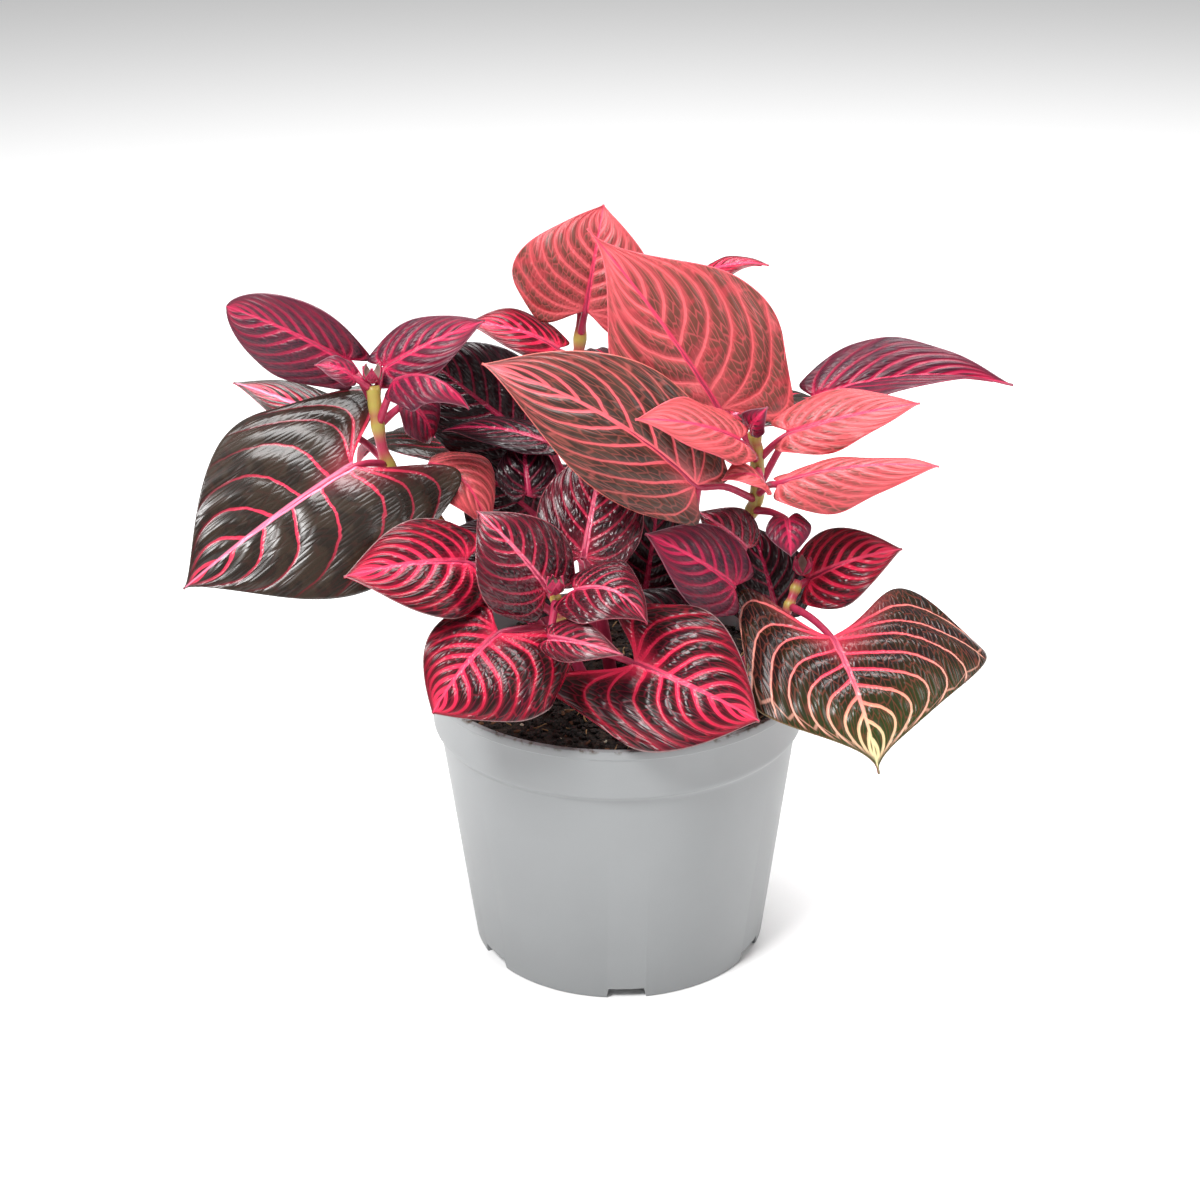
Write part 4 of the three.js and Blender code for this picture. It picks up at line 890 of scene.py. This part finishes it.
def fibres(name, count, material):
    """Short coir fibres, bent a little, lying on the peat."""
    bm = bmesh.new()
    for _ in range(count):
        angle, radius = chance.uniform(0, math.tau), 52 * math.sqrt(chance.uniform(0, 1))
        middle = np.array([radius * math.cos(angle), radius * math.sin(angle), 0])
        turn, length = chance.uniform(0, math.tau), chance.uniform(2, 8)
        steps = np.linspace(-0.5, 0.5, 6)[:, None]
        bend = chance.uniform(-1.5, 1.5)
        points = middle + steps * length * np.array([math.cos(turn), math.sin(turn), 0])
        points = points + (steps ** 2) * bend * np.array([-math.sin(turn), math.cos(turn), 0])
        points = points[np.hypot(points[:, 0], points[:, 1]) < 55.5]
        if len(points) < 3:
            continue
        points[:, 2] = soil_height(points[:, 0], points[:, 1]) + chance.uniform(0.3, 0.9)
        fibre = rod("fibre", points, np.full(len(points), chance.uniform(0.12, 0.3)), 5)
        bm.from_mesh(fibre)
        bpy.data.meshes.remove(fibre)
    add_piece(mesh_from(bm, name), [material], ["soil"])


# ---- Stems --------------------------------------------------------------------------------
STEM_BURIED = 8  # how far each stem goes on down into the peat


def make_stem(name):
    """A fleshy stem, swollen and paler where the stalks leave it."""
    stem = STEMS[name]
    count = 90
    path = smooth_route([np.array(stem["route"][0]) - [0, 0, STEM_BURIED], *stem["route"]], count)
    share = np.linspace(0, 1, count)
    above = sum(np.linalg.norm(np.diff(np.array(stem["route"], float), axis=0), axis=1))
    start = STEM_BURIED / (STEM_BURIED + above)
    nodes = np.zeros(count)
    for leaf in LEAVES:
        if leaf["stem"] == name:
            place = start + leaf["at"] * (1 - start)
            nodes = np.maximum(nodes, np.exp(-((share - place) / 0.022) ** 2))
    radii = stem["radius"] * (1 - 0.35 * share) * (1 + 0.35 * nodes)
    mesh = rod(name + "_flesh", path, radii, 14, "node", nodes)
    add_piece(mesh, [stalk_finish], [name])


# The newest leaves are still folded together at a shoot's end, under pale down.
BUDS = [("stem_left", -71, -12, 190), ("stem_right", 41, -9, 173), ("stem_front", -18, -53, 140),
        ("stem_low_right", 56, -11, 128), ("stem_back", -10, 31, 199), ("stem_back_right", 29, 51, 198),
        ("stem_back_left", -47, 42, 177), ("stem_middle", -14, -13, 159)]


def make_bud(stem_name, foot, number):
    bm = bmesh.new()
    for turn in np.arange(5) * 2.4 + number:
        tilt = 0.35 + 0.12 * (turn % 1)
        lean = np.array([math.cos(turn) * tilt, math.sin(turn) * tilt, 1.0])
        young = LEAF | {"base": foot + 0.4 * lean, "tip": foot + 5.5 * unit(lean), "bow": -1.0, "width": 4.2,
                        "face": [-math.cos(turn), -math.sin(turn), 0.4], "veins": 4, "quilt": 0.15,
                        "wave": 0.1, "seed": 40 + number}
        part = sheet("young", 10, 12, lambda u, v: veined_surface(young, u, v), ["vein", "blade"], 0.35)
        bm.from_mesh(part)
        bpy.data.meshes.remove(part)
    look = "coral_leaf" if stem_name == "stem_right" else "mauve_leaf"
    add_piece(mesh_from(bm, stem_name + "_bud"), [downy_finish, under_finish[look]], [stem_name])


# ---- Assembly -----------------------------------------------------------------------------
blade_finish = {look: leaf_material(look + "_upper_side", values) for look, values in LEAF_LOOKS.items()}
under_finish = {look: underside_material(look + "_underside", values) for look, values in LEAF_LOOKS.items()}
downy_finish = plain_material("downy_young_leaf", "#a08078", 0.8)
stalk_finish = stalk_material("fleshy_red_stalk", "#8c1c3c", "#c03a5c")
make_pot()
make_peat()
scatter("peat_crumbs", 2600, 1.0, 1.7, peat_material("peat_crumb", "#100906", "#34221a"), 55.3)
scatter("peat_bark", 260, 0.8, 2.4, plain_material("bark_chip", "#6a4428", 0.8), 55)
scatter("perlite_grains", 90, 0.5, 1.4, plain_material("perlite", "#e8dcc4", 0.7), 55)
fibres("coir_fibres", 120, plain_material("coir", "#a88458", 0.7))
for stem_name in STEMS:
    make_stem(stem_name)
for entry in LEAVES:
    make_leaf(entry, [entry["name"]])
for number, (stem_name, *place) in enumerate(BUDS):
    make_bud(stem_name, np.array(place), number)


# ---- Floor and light ----------------------------------------------------------------------
def make_floor():
    bm = bmesh.new()
    bmesh.ops.create_grid(bm, x_segments=1, y_segments=1, size=30)
    mesh = mesh_from(bm, "floor")
    material, tree = new_material("white_paper_sweep")
    shader = add(tree, "ShaderNodeBsdfDiffuse", {"Color": colour("#f7f7f7")})
    finish_material(tree, shader)
    mesh.materials.append(material)
    floor = bpy.data.objects.new("floor", mesh)
    scene.collection.objects.link(floor)


def add_light(name, place, target, size, watts):
    lamp = bpy.data.lights.new(name, "AREA")
    lamp.shape = "DISK"
    lamp.size = size
    lamp.energy = watts
    light = bpy.data.objects.new(name, lamp)
    scene.collection.objects.link(light)
    light.location = place
    light.rotation_euler = (Vector(target) - Vector(place)).to_track_quat("-Z", "Y").to_euler()


make_floor()
add_light("key_light", (-0.6, -0.8, 1.3), (0, 0, 0.12), 0.5, 26)
add_light("top_light", (0.2, 0.3, 1.6), (0, 0, 0.12), 0.9, 30)
add_light("right_light", (1.4, -0.3, 0.9), (0, 0, 0.12), 0.6, 6)
world = bpy.data.worlds.new("studio")
scene.world = world
world.use_nodes = True
world.node_tree.nodes["Background"].inputs["Color"].default_value = colour("#ffffff")
world.node_tree.nodes["Background"].inputs["Strength"].default_value = 0.36
